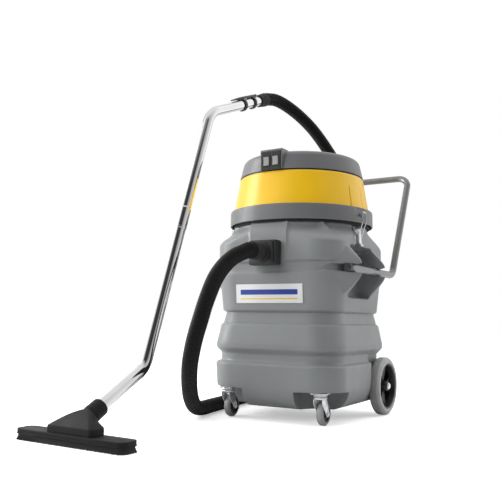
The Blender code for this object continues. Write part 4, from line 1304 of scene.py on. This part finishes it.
# ---- running gear --------------------------------------------------------------------------
@dataclass
class RearWheel:
    """A rear wheel: tyre, deep spoked hub, axle cap and the block that carries the axle."""

    word: str
    side: float
    radius: float = 0.102
    width: float = 0.040
    outer_x: float = 0.262
    y: float = 0.1855
    rim: float = 0.080
    spokes: int = 4

    @property
    def middle(self) -> Array:
        """The wheel's centre."""
        return np.array((self.side * (self.outer_x - self.width / 2), self.y, self.radius))

    @property
    def axis(self) -> Array:
        """The direction out along the axle."""
        return self.side * X_AXIS

    def build_tyre(self) -> None:
        """Makes the tyre: a flat tread with two fine grooves and a bevel at each side."""
        r, half, rim = self.radius, self.width / 2, self.rim
        groove = np.array([(r - 0.0012 * (i % 4 in (1, 2)), 0.0085 - 0.0005 * i - 0.0065 * (i > 3))
                           for i in range(8)])
        groove[:, 1] -= groove[:, 1].mean()
        outline = np.vstack((
            ((rim, half), (r - 0.0105, half), (r - 0.0085, half - 0.0010),
             (r - 0.0020, half - 0.0060), (r - 0.0004, half - 0.0085)), groove,
            ((r - 0.0004, 0.0085 - half), (r - 0.0020, 0.0060 - half), (r - 0.0085, 0.0010 - half),
             (r - 0.0105, -half), (rim, -half)),
        ))
        piece = Piece(f"wheel_tyre_{self.word}")
        piece.lathe(outline, 0.0012, 2, 144, self.middle, self.axis, ring=True)
        piece.dress(TYRE_GREY, f"rear_wheel_{self.word}", f"rear_tyre_{self.word}")

    def build_hub(self) -> None:
        """Makes the hub: a barrel, a boss, a web, and four fan-shaped spokes set deep in it.

        A spoke is a patch over radius and angle. Its half angle is 13 degrees at the boss and
        grows evenly to 26 at the barrel; its face dips 3 mm from its edges to its middle line.
        """
        half, rim, root = self.width / 2, self.rim - GAP, 0.017
        piece = Piece(f"wheel_hub_{self.word}")
        barrel = ((rim, half - 0.003), (rim, 0.003 - half), (rim - 0.006, 0.003 - half),
                  (rim - 0.008, -0.004), (rim - 0.008, 0.000), (rim - 0.005, half - 0.003))
        piece.lathe(barrel, 0.0012, 3, 96, self.middle, self.axis, ring=True)
        boss = ((0.0083, half - 0.004), (0.0165, half - 0.004), (0.0195, 0.002),
                (0.0195, -0.004), (0.0180, 0.004 - half), (0.0083, 0.004 - half))
        piece.lathe(boss, 0.0012, 3, 48, self.middle, self.axis, ring=True)
        web = np.array(((root, 0.0060 - half), (rim - 0.005, 0.0060 - half),
                        (rim - 0.005, 0.0040 - half), (root, 0.0040 - half)))
        piece.add(turned(web, 48, self.middle, self.axis), ring=True)
        radius = np.linspace(root, rim - 0.0045, 14)[:, None]
        share = np.linspace(-1.0, 1.0, 13)
        spread = np.radians(13.0 + 13.0 * (radius - root) / (rim - 0.0215))
        edge = np.concatenate((share, share[::-1]))[None, :]
        face = np.concatenate((np.ones(13), -np.ones(13)))[None, :]
        depth = face * (0.0015 + 0.0030 * edge**2) - 0.001 * face * (np.abs(edge) > 0.99)
        for spoke in range(self.spokes):
            angle = spoke * 2 * math.pi / self.spokes + spread * edge
            y, z = radius * np.cos(angle), radius * np.sin(angle)
            x = np.broadcast_to(self.side * (depth - 0.004), y.shape)
            piece.add(self.middle + np.stack((x, y, z), axis=-1))
        piece.dress(BLACK_PLASTIC, f"rear_wheel_{self.word}", f"rear_hub_{self.word}")

    def build_axle_end(self) -> None:
        """Makes the pressed cap on the axle's end and the block under the tank."""
        start = (self.side * (self.outer_x - 0.0005), self.y, self.radius)
        cap = ((0.0, 0.0), (0.0120, 0.0), (0.0120, 0.0018), (0.0095, 0.0028),
               (0.0090, 0.0050), (0.0, 0.0058))
        piece = Piece(f"axle_cap_{self.word}")
        piece.lathe(cap, (0, 0.0008, 0.0008, 0.0008, 0.003, 0), 5, 32, start, self.axis)
        piece.dress(ZINC, "chassis", f"axle_clip_{self.word}")
        middle = (self.side * 0.1375, self.y, self.radius)
        saddle = ((-0.0200, 0.0227), (-0.0200, -0.0020), (-0.0120, -0.0160),
                  (0.0120, -0.0160), (0.0200, -0.0020), (0.0200, 0.0227))
        piece = Piece(f"axle_saddle_{self.word}")
        piece.slab(saddle, (0.002, 0.006, 0.006, 0.006, 0.006, 0.002), 5, 0.0125, 0.0015, middle)
        piece.dress(BLACK_PLASTIC, "chassis", f"axle_block_{self.word}")

    def build(self) -> None:
        """Builds and dresses the wheel."""
        self.build_tyre()
        self.build_hub()
        self.build_axle_end()


@dataclass
class Caster:
    """A front caster: plate and race, fork with drop-shaped legs, wheel and axle."""

    word: str
    side: float
    x: float = 0.174
    y: float = -0.200
    top: float = 0.1042
    radius: float = 0.036
    width: float = 0.024
    trail: float = 0.024

    @property
    def stem(self) -> Array:
        """The swivel axis where it meets the floor."""
        return np.array((self.side * self.x, self.y, 0.0))

    @property
    def hub(self) -> Array:
        """The wheel's centre."""
        return self.stem + (0.0, self.trail, self.radius)

    def build_plate(self) -> None:
        """Makes the screwed plate and, under it, the ball race's two pressed rings."""
        piece = Piece(f"caster_mount_{self.word}")
        low = 0.1010
        middle = self.stem + (0.0, 0.0, (self.top + low) / 2)
        piece.add(block(middle, (0.027, 0.023, (self.top - low) / 2), 0.006, 0.0008))
        race = ((0.0, 0.0935), (0.0212, 0.0935), (0.0248, 0.0962), (0.0236, 0.0978),
                (0.0248, 0.0994), (0.0220, 0.1018), (0.0, 0.1018))
        piece.lathe(race, 0.0012, 3, 48, self.stem)
        screw = ((0.0, 0.0982), (0.0020, 0.0982), (0.0040, 0.0996), (0.0040, 0.1012), (0.0, 0.1012))
        for x, y in ((-1, -1), (-1, 1), (1, -1), (1, 1)):
            piece.lathe(screw, 0.0008, 2, 14, self.stem + (x * 0.0212, y * 0.0172, 0.0))
        piece.dress(ZINC, "chassis", f"caster_plate_{self.word}")

    def build_fork(self) -> None:
        """Makes the fork: its crown, two pressed legs shaped like drops, and the axle bolt."""
        body = f"caster_{self.word}"
        crown = ((0.0, 0.0930), (0.0196, 0.0930), (0.0233, 0.0895), (0.0225, 0.0862),
                 (0.0196, 0.0838), (0.0, 0.0838))
        piece = Piece(f"caster_yoke_{self.word}").lathe(crown, 0.0014, 3, 48, self.stem)
        y, z = self.trail, self.radius
        leg = ((-0.0165, 0.0862), (-0.0160, 0.0700), (y - 0.0105, z - 0.0030),
               (y - 0.0055, z - 0.0090), (y + 0.0055, z - 0.0090), (y + 0.0100, z + 0.0010),
               (y - 0.0010, z + 0.0260), (0.0165, 0.0862))
        reach = (0.003, 0.010, 0.010, 0.005, 0.005, 0.009, 0.014, 0.003)
        for sign in (-1.0, 1.0):
            piece.slab(leg, reach, 6, 0.00125, 0.0006, self.stem + (sign * 0.01525, 0.0, 0.0))
        piece.dress(ZINC, body, f"caster_fork_{self.word}")
        bolt = ((0.0, -0.0200), (0.0040, -0.0200), (0.0062, -0.0192), (0.0062, -0.0168),
                (0.0040, -0.0165), (0.0040, 0.0165), (0.0062, 0.0168), (0.0062, 0.0192),
                (0.0040, 0.0200), (0.0, 0.0200))
        piece = Piece(f"caster_bolt_{self.word}").lathe(bolt, 0.0004, 2, 24, self.hub, X_AXIS)
        piece.dress(ZINC, body, f"caster_axle_{self.word}")

    def build_wheel(self) -> None:
        """Makes the grey tread with its rounded shoulders, and the black dished hub."""
        r, half, body = self.radius, self.width / 2, f"caster_wheel_{self.word}"
        tread = ((r - 0.0065, half), (r, half - 0.0045), (r, 0.0045 - half), (r - 0.0065, -half),
                 (0.026, -half), (0.026, half))
        reach = (0.003, 0.004, 0.004, 0.003, 0.0005, 0.0005)
        piece = Piece(f"caster_tread_{self.word}")
        piece.lathe(tread, reach, 4, 72, self.hub, X_AXIS, ring=True)
        piece.dress(TREAD_GREY, body, f"caster_tyre_{self.word}")
        rim, bore = 0.0257, 0.0043
        core = ((rim, half - 0.001), (rim, 0.001 - half), (rim - 0.004, 0.001 - half),
                (rim - 0.006, 0.006 - half), (0.0110, 0.006 - half), (0.0090, 0.0005 - half),
                (bore, 0.0005 - half), (bore, half - 0.0005), (0.0090, half - 0.0005),
                (0.0110, half - 0.006), (rim - 0.006, half - 0.006), (rim - 0.004, half - 0.001))
        piece = Piece(f"caster_core_{self.word}")
        piece.lathe(core, 0.001, 3, 48, self.hub, X_AXIS, ring=True)
        piece.dress(BLACK_PLASTIC, body, f"caster_hub_{self.word}")

    def build(self) -> None:
        """Builds and dresses the caster."""
        self.build_plate()
        self.build_fork()
        self.build_wheel()


# ---- handle --------------------------------------------------------------------------------
@dataclass
class Handle:
    """The bent tube that lies in both side grooves, with a plastic cap on each end."""

    radius: float = 0.0125
    x: float = 0.2564
    bar_z: float = 0.504
    front_y: float = -0.158
    knee_y: float = 0.2475
    top: tuple[float, float] = (0.457, 0.915)
    bend: float = 0.045

    def build(self) -> None:
        """Builds and dresses the tube and its caps."""
        top_y, top_z = self.top
        arm = ((self.front_y, self.bar_z), (self.knee_y, self.bar_z), (top_y, top_z))
        corners = [(-self.x, y, z) for y, z in arm] + [(self.x, y, z) for y, z in arm[::-1]]
        tube = swept(filleted(corners, self.bend, 16), self.radius, 36)
        Piece("handle_tube").add(tube).dress(HANDLE_GREY, "chassis", "handle_frame")
        cap = ((0.0, 0.0), (0.0136, 0.0), (0.0145, 0.0014), (0.0141, 0.0190),
               (0.0105, 0.0240), (0.0, 0.0240))
        reach = (0, 0.001, 0.001, 0.003, 0.004, 0)
        for word, side in SIDES:
            start = (side * self.x, self.front_y - GAP, self.bar_z)
            piece = Piece(f"handle_plug_{word}").lathe(cap, reach, 6, 36, start, -Y_AXIS)
            piece.dress(BLACK_PLASTIC, "chassis", f"handle_cap_{word}")


# ---- wand, hose and floor tool -------------------------------------------------------------
@dataclass
class Wand:
    """The bent chrome wand in two lengths, with the suction regulator near its top."""

    x: float = -0.2175
    radius: float = 0.019
    foot: tuple[float, float] = (-0.785, 0.0834)
    knee: tuple[float, float] = (-0.5946, 0.1843)
    shoulder: tuple[float, float] = (-0.2827, 1.0553)
    end: tuple[float, float] = (0.0450, 1.1920)
    joint_z: float = 0.620

    def point(self, pair: tuple[float, float]) -> Array:
        """Returns a point of the wand's plane."""
        return np.array((self.x, *pair))

    @property
    def along(self) -> Array:
        """The direction in which the wand's top end points."""
        return unit(self.point(self.end) - self.point(self.shoulder))

    def build_tubes(self) -> None:
        """Makes the lower and upper tubes and the swaged sleeve where they join."""
        foot, knee = self.point(self.foot), self.point(self.knee)
        shoulder, end = self.point(self.shoulder), self.point(self.end)
        up = unit(shoulder - knee)
        joint = knee + up * (self.joint_z - knee[2]) / up[2]
        start = joint + up * GAP
        lower = swept(filleted((foot, knee, joint), 0.075, 24), self.radius, 48)
        Piece("wand_tube_lower").add(lower).dress(CHROME, "chassis", "wand_lower")
        upper = swept(filleted((start, shoulder, end), 0.100, 24), self.radius, 48)
        piece = Piece("wand_tube_upper").add(upper)
        wide = self.radius + 0.0012
        sleeve = ((0.010, 0.0), (wide, 0.0), (wide + 0.0004, 0.004), (wide, 0.008),
                  (wide, 0.074), (self.radius, 0.080), (0.010, 0.080))
        piece.lathe(sleeve, 0.0015, 3, 48, start, up, ring=True)
        piece.dress(CHROME, "chassis", "wand_upper")

    def build_regulator(self) -> None:
        """Makes the regulator: two narrow rings round the tube and the slider on top of them."""
        end, along = self.point(self.end), self.along
        inner, outer = self.radius + 0.0006, self.radius + 0.0052
        ring = ((inner, -0.006), (outer, -0.006), (outer, 0.006), (inner, 0.006))
        piece = Piece("regulator")
        for back in (0.128, 0.054):
            piece.lathe(ring, 0.0015, 4, 48, end - along * back, along, ring=True)
        slider = ((-0.192, 0.0225), (-0.134, 0.0200), (-0.016, 0.0200), (-0.016, 0.0290),
                  (-0.070, 0.0296), (-0.122, 0.0300), (-0.150, 0.0290), (-0.192, 0.0262))
        piece.slab(slider, 0.002, 4, 0.008, 0.0015, end, along, np.cross(X_AXIS, along))
        piece.dress(BLACK_PLASTIC, "regulator", "suction_regulator")

    def build(self) -> None:
        """Builds and dresses the wand."""
        self.build_tubes()
        self.build_regulator()


@dataclass
class Hose:
    """The free ribbed hose from the inlet to the wand, and the cuff at each end."""

    wand: Wand
    radius: float = 0.025
    pitch: float = 0.0060
    rib: float = 0.0022
    wave: tuple[float, float, float, float] = (0.0, 0.86, 1.0, 0.86)
    cuff: float = 0.055
    straight: float = 0.020
    inlet: tuple[float, float, float] = (0.0, -0.2903, 0.552)
    route: tuple[tuple[float, float, float], ...] = (
        (-0.006, -0.4520, 0.5180), (-0.015, -0.5150, 0.4640), (-0.028, -0.5460, 0.3950),
        (-0.047, -0.5530, 0.3290), (-0.075, -0.5430, 0.2640), (-0.109, -0.5140, 0.1970),
        (-0.145, -0.4660, 0.1370), (-0.184, -0.4030, 0.0850), (-0.222, -0.3280, 0.0460),
        (-0.254, -0.2450, 0.0280), (-0.275, -0.1550, 0.0255), (-0.291, -0.0550, 0.0255),
        (-0.307, 0.0600, 0.0255), (-0.320, 0.1800, 0.0255), (-0.323, 0.2900, 0.0260),
        (-0.299, 0.3950, 0.0370), (-0.250, 0.4850, 0.0790), (-0.185, 0.5430, 0.1550),
        (-0.122, 0.5720, 0.2600), (-0.072, 0.5830, 0.3850), (-0.045, 0.5850, 0.5150),
        (-0.035, 0.5780, 0.6450), (-0.034, 0.5610, 0.7650), (-0.037, 0.5320, 0.8640),
        (-0.047, 0.4920, 0.9420), (-0.063, 0.4470, 1.0080), (-0.089, 0.4020, 1.0740),
        (-0.126, 0.3530, 1.1430), (-0.164, 0.3050, 1.1940), (-0.196, 0.2450, 1.2270),
        (-0.212, 0.1800, 1.2350),
    )

    def path(self) -> Array:
        """Returns the hose's centreline, four points to each rib."""
        along = self.wand.along
        first = np.array(self.inlet) - Y_AXIS * (self.cuff + GAP)
        last = self.wand.point(self.wand.end) + along * (self.cuff + GAP)
        lead_in, lead_out = first - Y_AXIS * self.straight, last + along * self.straight
        route = np.vstack((lead_in, self.route, lead_out))
        curve = np.vstack((first, smooth_route(route, self.pitch), last))
        return evenly(curve, 4 * round(length_of(curve) / self.pitch))

    def build_hose(self) -> tuple[bpy.types.Object, Array]:
        """Makes the ribbed tube: its radius is 22.8 mm in each furrow and 25 mm on each rib."""
        path = self.path()
        wave = np.resize(self.wave, len(path))
        radius = self.radius - self.rib + self.rib * wave
        piece = Piece("ribbed_hose").add(swept(path, radius, 32))
        return piece.dress(HOSE_BLACK, "chassis", "hose", sharp=70.0), path

    def build_cuffs(self) -> list[bpy.types.Object]:
        """Makes the two cuffs, each a sleeve with a lip and fine rings at its hose end."""
        inlet = ((0.0, 0.0), (0.0285, 0.0), (0.0285, 0.006), (0.0270, 0.0075), (0.0266, 0.026),
                 (0.0285, 0.029), (0.0281, 0.033), (0.0268, 0.035), (0.0281, 0.038),
                 (0.0278, 0.042), (0.0266, 0.044), (0.0279, 0.047), (0.0276, self.cuff),
                 (0.0, self.cuff))
        wand = ((0.0, 0.0), (0.0235, 0.0), (0.0235, 0.010), (0.0243, 0.013), (0.0236, 0.016),
                (0.0248, 0.026), (0.0256, 0.030), (0.0249, 0.033), (0.0260, 0.037),
                (0.0253, 0.041), (0.0264, 0.045), (0.0265, self.cuff), (0.0, self.cuff))
        start = self.wand.point(self.wand.end) + self.wand.along * GAP
        return [
            Piece(f"{word}_cuff").lathe(outline, 0.0010, 3, 48, place, axis).dress(
                BLACK_RUBBER, "chassis", f"hose_{word}_cuff")
            for word, outline, place, axis in (
                ("inlet", inlet, self.inlet, -Y_AXIS), ("wand", wand, start, self.wand.along))
        ]

    def build(self) -> None:
        hose, path = self.build_hose()
        cuffs = self.build_cuffs()


@dataclass
class FloorTool:
    """The wide floor tool: plate, flared brush skirt, and the hood up to its round collar."""

    wand: Wand
    y: float = -0.866
    half: tuple[float, float] = (0.1975, 0.033)
    corner: float = 0.022
    low: float = 0.016
    high: float = 0.030
    bristles: int = 900

    def build_plate(self) -> None:
        """Makes the plate: a lower flange and, a little in from it, the upper body."""
        piece = Piece("tool_plate")
        for low, high, inset in ((self.low, 0.0195, 0.0), (0.0182, self.high, 0.0009)):
            middle = (self.wand.x, self.y, (low + high) / 2)
            half = (self.half[0] - inset, self.half[1] - inset, (high - low) / 2)
            piece.add(block(middle, half, self.corner, 0.0016))
        piece.dress(TOOL_BLACK, "chassis", "floor_tool_body")

    def build_brush(self) -> None:
        """Makes the skirt of bristles round the mouth.

        Each row is a rounded rectangle read at even distances. The rows flare outwards by 4 mm
        towards the floor, every second column stands in by 0.7 mm, and the lowest row's height
        changes from bristle to bristle.
        """
        rng = np.random.default_rng(5)
        uneven = rng.random(self.bristles)
        tooth = (np.arange(self.bristles) % 2) * 0.0007
        rows = []
        for inset, height, share in (
            (0.0045, self.low - GAP, 0.3), (0.0040, 0.0120, 1.0), (0.0025, 0.0070, 1.0),
            (0.0000, 0.0022, 1.0), (-0.0008, 0.0004, 1.0), (0.0120, 0.0010, 0.5),
            (0.0165, 0.0060, 0.2), (0.0170, self.low - GAP, 0.0),
        ):
            outline = rounded_rectangle(self.half, self.corner, (inset,))[0]
            flat = np.column_stack((outline, np.zeros(len(outline))))
            flat = evenly(np.vstack((flat, flat[:1])), self.bristles)[:-1]
            flat[:, :2] *= 1 - (tooth * share)[:, None] / np.array(self.half)
            flat[:, 2] = height + (0.0022 * uneven**2 if height < 0.0015 else 0.0)
            rows.append(flat + (self.wand.x, self.y, 0.0))
        Piece("tool_brush").add(np.stack(rows), ring=True).dress(
            BLACK_RUBBER, "chassis", "floor_tool_brush", sharp=70.0)

    def build_hood(self) -> None:
        """Makes the hood: a long rounded rectangle that becomes the wand's round collar.

        With s the share of the way up, the half width is 82 + (25 - 82) s^0.96 mm, the half depth
        27 + (25 - 27) s and the corner radius 10 + (25 - 10) s^1.3; the middle and the tilt go
        from the plate's to the collar's. The upper rows make the collar, its lip and open end.
        """
        foot = self.wand.point(self.wand.foot)
        axis = unit(self.wand.point(self.wand.knee) - foot)
        base = np.array((self.wand.x, self.y + 0.002, self.high - 0.0008))
        neck = foot - axis * 0.034
        collar, wall_rise, flat = 0.0250, 0.0185, [0.0] * 16
        share = np.concatenate(([0.0, 0.0, 0.03], np.linspace(0.10, 1.0, 13), np.ones(7)))[:, None]
        rise = np.array((0.0, 0.0150, *[wall_rise] * 21))[:, None]
        after = (*flat, 0.0010, 0.0070, 0.0080, 0.0460, 0.0480, 0.0480, 0.0350)
        after = np.array(after)[:, None]
        thick = (*flat, 0.0, 0.0, 0.0012, 0.0004, -0.0006, -0.0058, -0.0058)
        thick = np.array(thick)[:, None]
        wide = 0.082 + (collar - 0.082) * share**0.96 + thick
        tall = 0.0270 + (collar - 0.0270) * share + thick
        corner = 0.010 + (collar - 0.010) * share**1.3 + thick
        up = unit((1 - share) * Z_AXIS + share * axis)
        over = np.cross(up, X_AXIS)
        climb = np.minimum(share * (1 + 0.25 * (1 - share)), 1.0)
        middle = base + (neck - base) * climb + rise * (1 - share) * Z_AXIS + after * axis
        outline = rounded_rectangle((wide, tall), corner, np.zeros(len(share)), 10)
        grid = middle[:, None] + outline[..., :1] * X_AXIS + outline[..., 1:] * over[:, None]
        Piece("tool_hood").add(grid).dress(TOOL_BLACK, "chassis", "floor_tool_hood", sharp=25.0)

    def build(self) -> None:
        """Builds and dresses the floor tool."""
        self.build_plate()
        self.build_brush()
        self.build_hood()


# ---- studio --------------------------------------------------------------------------------
@dataclass(frozen=True)
class Panel:
    """A soft light panel: where it hangs in the frame's axes, its width and height, its watts."""

    name: str
    at: tuple[float, float, float]
    size: tuple[float, float]
    power: float
    reflected: bool = False


@dataclass
class Studio:
    """The plain floor, the soft lights and the camera."""

    camera_at: tuple[float, float, float] = (1.1527, -1.9317, 0.3334)
    right: tuple[float, float, float] = (0.8550, 0.5184, 0.0149)
    up: tuple[float, float, float] = (0.0412, -0.0965, 0.9945)
    lens: float = 47.74
    camera_turn: float = math.radians(58.7)
    surround: float = 1.15
    overhead: float = 0.8
    sky: tuple[float, float] = (0.72, 0.95)
    aim: tuple[float, float, float] = (0.064, 0.2135, 0.45)
    floor_reach: float = 14.0
    glow: float = 0.42
    bounce: float = 0.45
    flags: tuple[tuple[float, float], ...] = (
        (0.00, 1.00), (0.12, 1.00), (0.17, 0.40), (0.22, 0.90), (0.30, 1.10), (0.35, 0.75),
        (0.40, 0.06), (0.57, 0.03), (0.64, 0.45), (0.72, 0.62), (0.80, 0.90), (0.87, 1.10),
        (0.91, 0.45), (0.96, 0.90), (1.00, 1.00),
    )
    panels: tuple[Panel, ...] = (
        Panel("key", (-2.7, -0.9, 1.6), (1.2, 2.4), 62.0, reflected=True),
        Panel("top", (0.2, 0.6, 3.4), (2.6, 2.6), 30.0),
        Panel("rim", (2.3, 2.3, 1.4), (2.0, 2.4), 34.0),
        Panel("fill", (-0.4, -3.4, 1.9), (2.4, 1.6), 56.0),
    )

    def build_floor(self) -> None:
        """Makes the pale floor: plain and even to the camera, a mid grey to the bounced light."""
        mesh = bpy.data.meshes.new("studio_floor")
        corners = np.array(((-1, -1, 0), (1, -1, 0), (1, 1, 0), (-1, 1, 0))) * self.floor_reach
        mesh.from_pydata(corners.tolist(), [], [(0, 1, 2, 3)])
        paint = bpy.data.materials.new("studio_floor")
        paint.use_nodes = True
        shader = paint.node_tree.nodes["Principled BSDF"]
        shader.inputs["Base Color"].default_value = (FLOOR_TONE, FLOOR_TONE, FLOOR_TONE, 1.0)
        shader.inputs["Roughness"].default_value = 0.9
        shader.inputs["Specular IOR Level"].default_value = 0.1
        shader.inputs["Emission Color"].default_value = (1.0, 1.0, 1.0, 1.0)
        tree = paint.node_tree
        rays = tree.nodes.new("ShaderNodeLightPath").outputs
        either = tree.nodes.new("ShaderNodeMath")
        either.operation = "MAXIMUM"
        tree.links.new(rays["Is Camera Ray"], either.inputs[0])
        tree.links.new(rays["Is Glossy Ray"], either.inputs[1])
        for socket, ray, unseen, seen in (
            ("Base Color", either.outputs["Value"], self.bounce, FLOOR_TONE),
            ("Emission Strength", rays["Is Camera Ray"], 0.0, self.glow),
        ):
            span = tree.nodes.new("ShaderNodeMapRange")
            span.inputs["To Min"].default_value, span.inputs["To Max"].default_value = unseen, seen
            tree.links.new(ray, span.inputs["Value"])
            tree.links.new(span.outputs["Result"], shader.inputs[socket])
        mesh.materials.append(paint)
        floor = bpy.data.objects.new("studio_floor", mesh)
        bpy.context.scene.collection.objects.link(floor)

    def build_world(self) -> None:
        """Makes the surround: plain white to the camera, panels and dark flags to the machine.

        The brightness that lights the machine runs round the horizon in the steps of `flags`,
        counted from behind the machine, and blends upwards into an even overhead glow.
        """
        world = bpy.data.worlds.new("studio_world")
        bpy.context.scene.world = world
        world.use_nodes = True
        tree = world.node_tree
        nodes, link = tree.nodes, tree.links.new
        turn = nodes.new("ShaderNodeMapping")
        turn.inputs["Rotation"].default_value = (0.0, 0.0, self.camera_turn)
        link(nodes.new("ShaderNodeTexCoord").outputs["Generated"], turn.inputs["Vector"])
        sweep = nodes.new("ShaderNodeTexGradient")
        sweep.gradient_type = "RADIAL"
        link(turn.outputs["Vector"], sweep.inputs["Vector"])
        ramp = nodes.new("ShaderNodeValToRGB")
        link(sweep.outputs["Fac"], ramp.inputs["Fac"])
        stops = ramp.color_ramp.elements
        for place, value in self.flags[1:-1]:
            stops.new(place).color = (value, value, value, 1.0)
        for stop, (place, value) in ((stops[0], self.flags[0]), (stops[-1], self.flags[-1])):
            stop.position, stop.color = place, (value, value, value, 1.0)
        rise = nodes.new("ShaderNodeSeparateXYZ")
        link(turn.outputs["Vector"], rise.inputs["Vector"])
        height = nodes.new("ShaderNodeMapRange")
        height.inputs["From Min"].default_value = self.sky[0]
        height.inputs["From Max"].default_value = self.sky[1]
        link(rise.outputs["Z"], height.inputs["Value"])
        mixed = nodes.new("ShaderNodeMix")
        mixed.data_type = "RGBA"
        link(height.outputs["Result"], mixed.inputs["Factor"])
        link(ramp.outputs["Color"], mixed.inputs["A"])
        mixed.inputs["B"].default_value = (self.overhead, self.overhead, self.overhead, 1.0)
        glow = nodes["Background"]
        link(mixed.outputs["Result"], glow.inputs["Color"])
        glow.inputs["Strength"].default_value = self.surround
        white = nodes.new("ShaderNodeBackground")
        white.inputs["Color"].default_value = (1.0, 1.0, 1.0, 1.0)
        chosen = nodes.new("ShaderNodeMixShader")
        link(nodes.new("ShaderNodeLightPath").outputs["Is Camera Ray"], chosen.inputs["Fac"])
        link(glow.outputs["Background"], chosen.inputs[1])
        link(white.outputs["Background"], chosen.inputs[2])
        link(chosen.outputs["Shader"], nodes["World Output"].inputs["Surface"])

    def add_light(self, panel: Panel) -> None:
        """Hangs a panel so that it faces the machine.

        Args:
            panel: the panel; glossy surfaces mirror it only if it says so.
        """
        light = bpy.data.lights.new(panel.name, "AREA")
        light.shape = "RECTANGLE"
        light.size, light.size_y = panel.size
        light.energy = panel.power
        lamp = bpy.data.objects.new(panel.name, light)
        lamp.location = panel.at
        lamp.visible_glossy = panel.reflected
        aim = Vector(self.aim) - Vector(panel.at)
        lamp.rotation_euler = aim.to_track_quat("-Z", "Y").to_euler()
        bpy.context.scene.collection.objects.link(lamp)

    def build_camera(self) -> None:
        """Sets the camera where its three axes say."""
        data = bpy.data.cameras.new("camera")
        data.lens = self.lens
        data.sensor_width = 36.0
        camera = bpy.data.objects.new("camera", data)
        right, up = Vector(self.right).normalized(), Vector(self.up)
        back = right.cross(up).normalized()
        turn = Matrix((right, back.cross(right), back)).transposed()
        camera.matrix_world = Matrix.Translation(Vector(self.camera_at)) @ turn.to_4x4()
        bpy.context.scene.collection.objects.link(camera)
        bpy.context.scene.camera = camera

    def build(self) -> None:
        """Builds the whole studio."""
        self.build_floor()
        self.build_world()
        self.build_camera()
        for panel in self.panels:
            self.add_light(panel)
        bpy.context.scene.view_settings.view_transform = "Standard"


def main() -> None:
    """Builds every sub-assembly in turn."""
    logging.basicConfig(level=logging.INFO, format="%(name)s %(message)s")
    Studio().build()
    wand = Wand()
    Hose(wand).build()
    Tank().build()
    Head().build()
    InnerWorks().build()
    for word, side in SIDES:
        Latch(word, side).build()
        RearWheel(word, side).build()
        Caster(word, side).build()
    dress_node("rear_axle", ZINC)
    Handle().build()
    wand.build()
    FloorTool(wand).build()


if __name__ == "__main__":
    main()
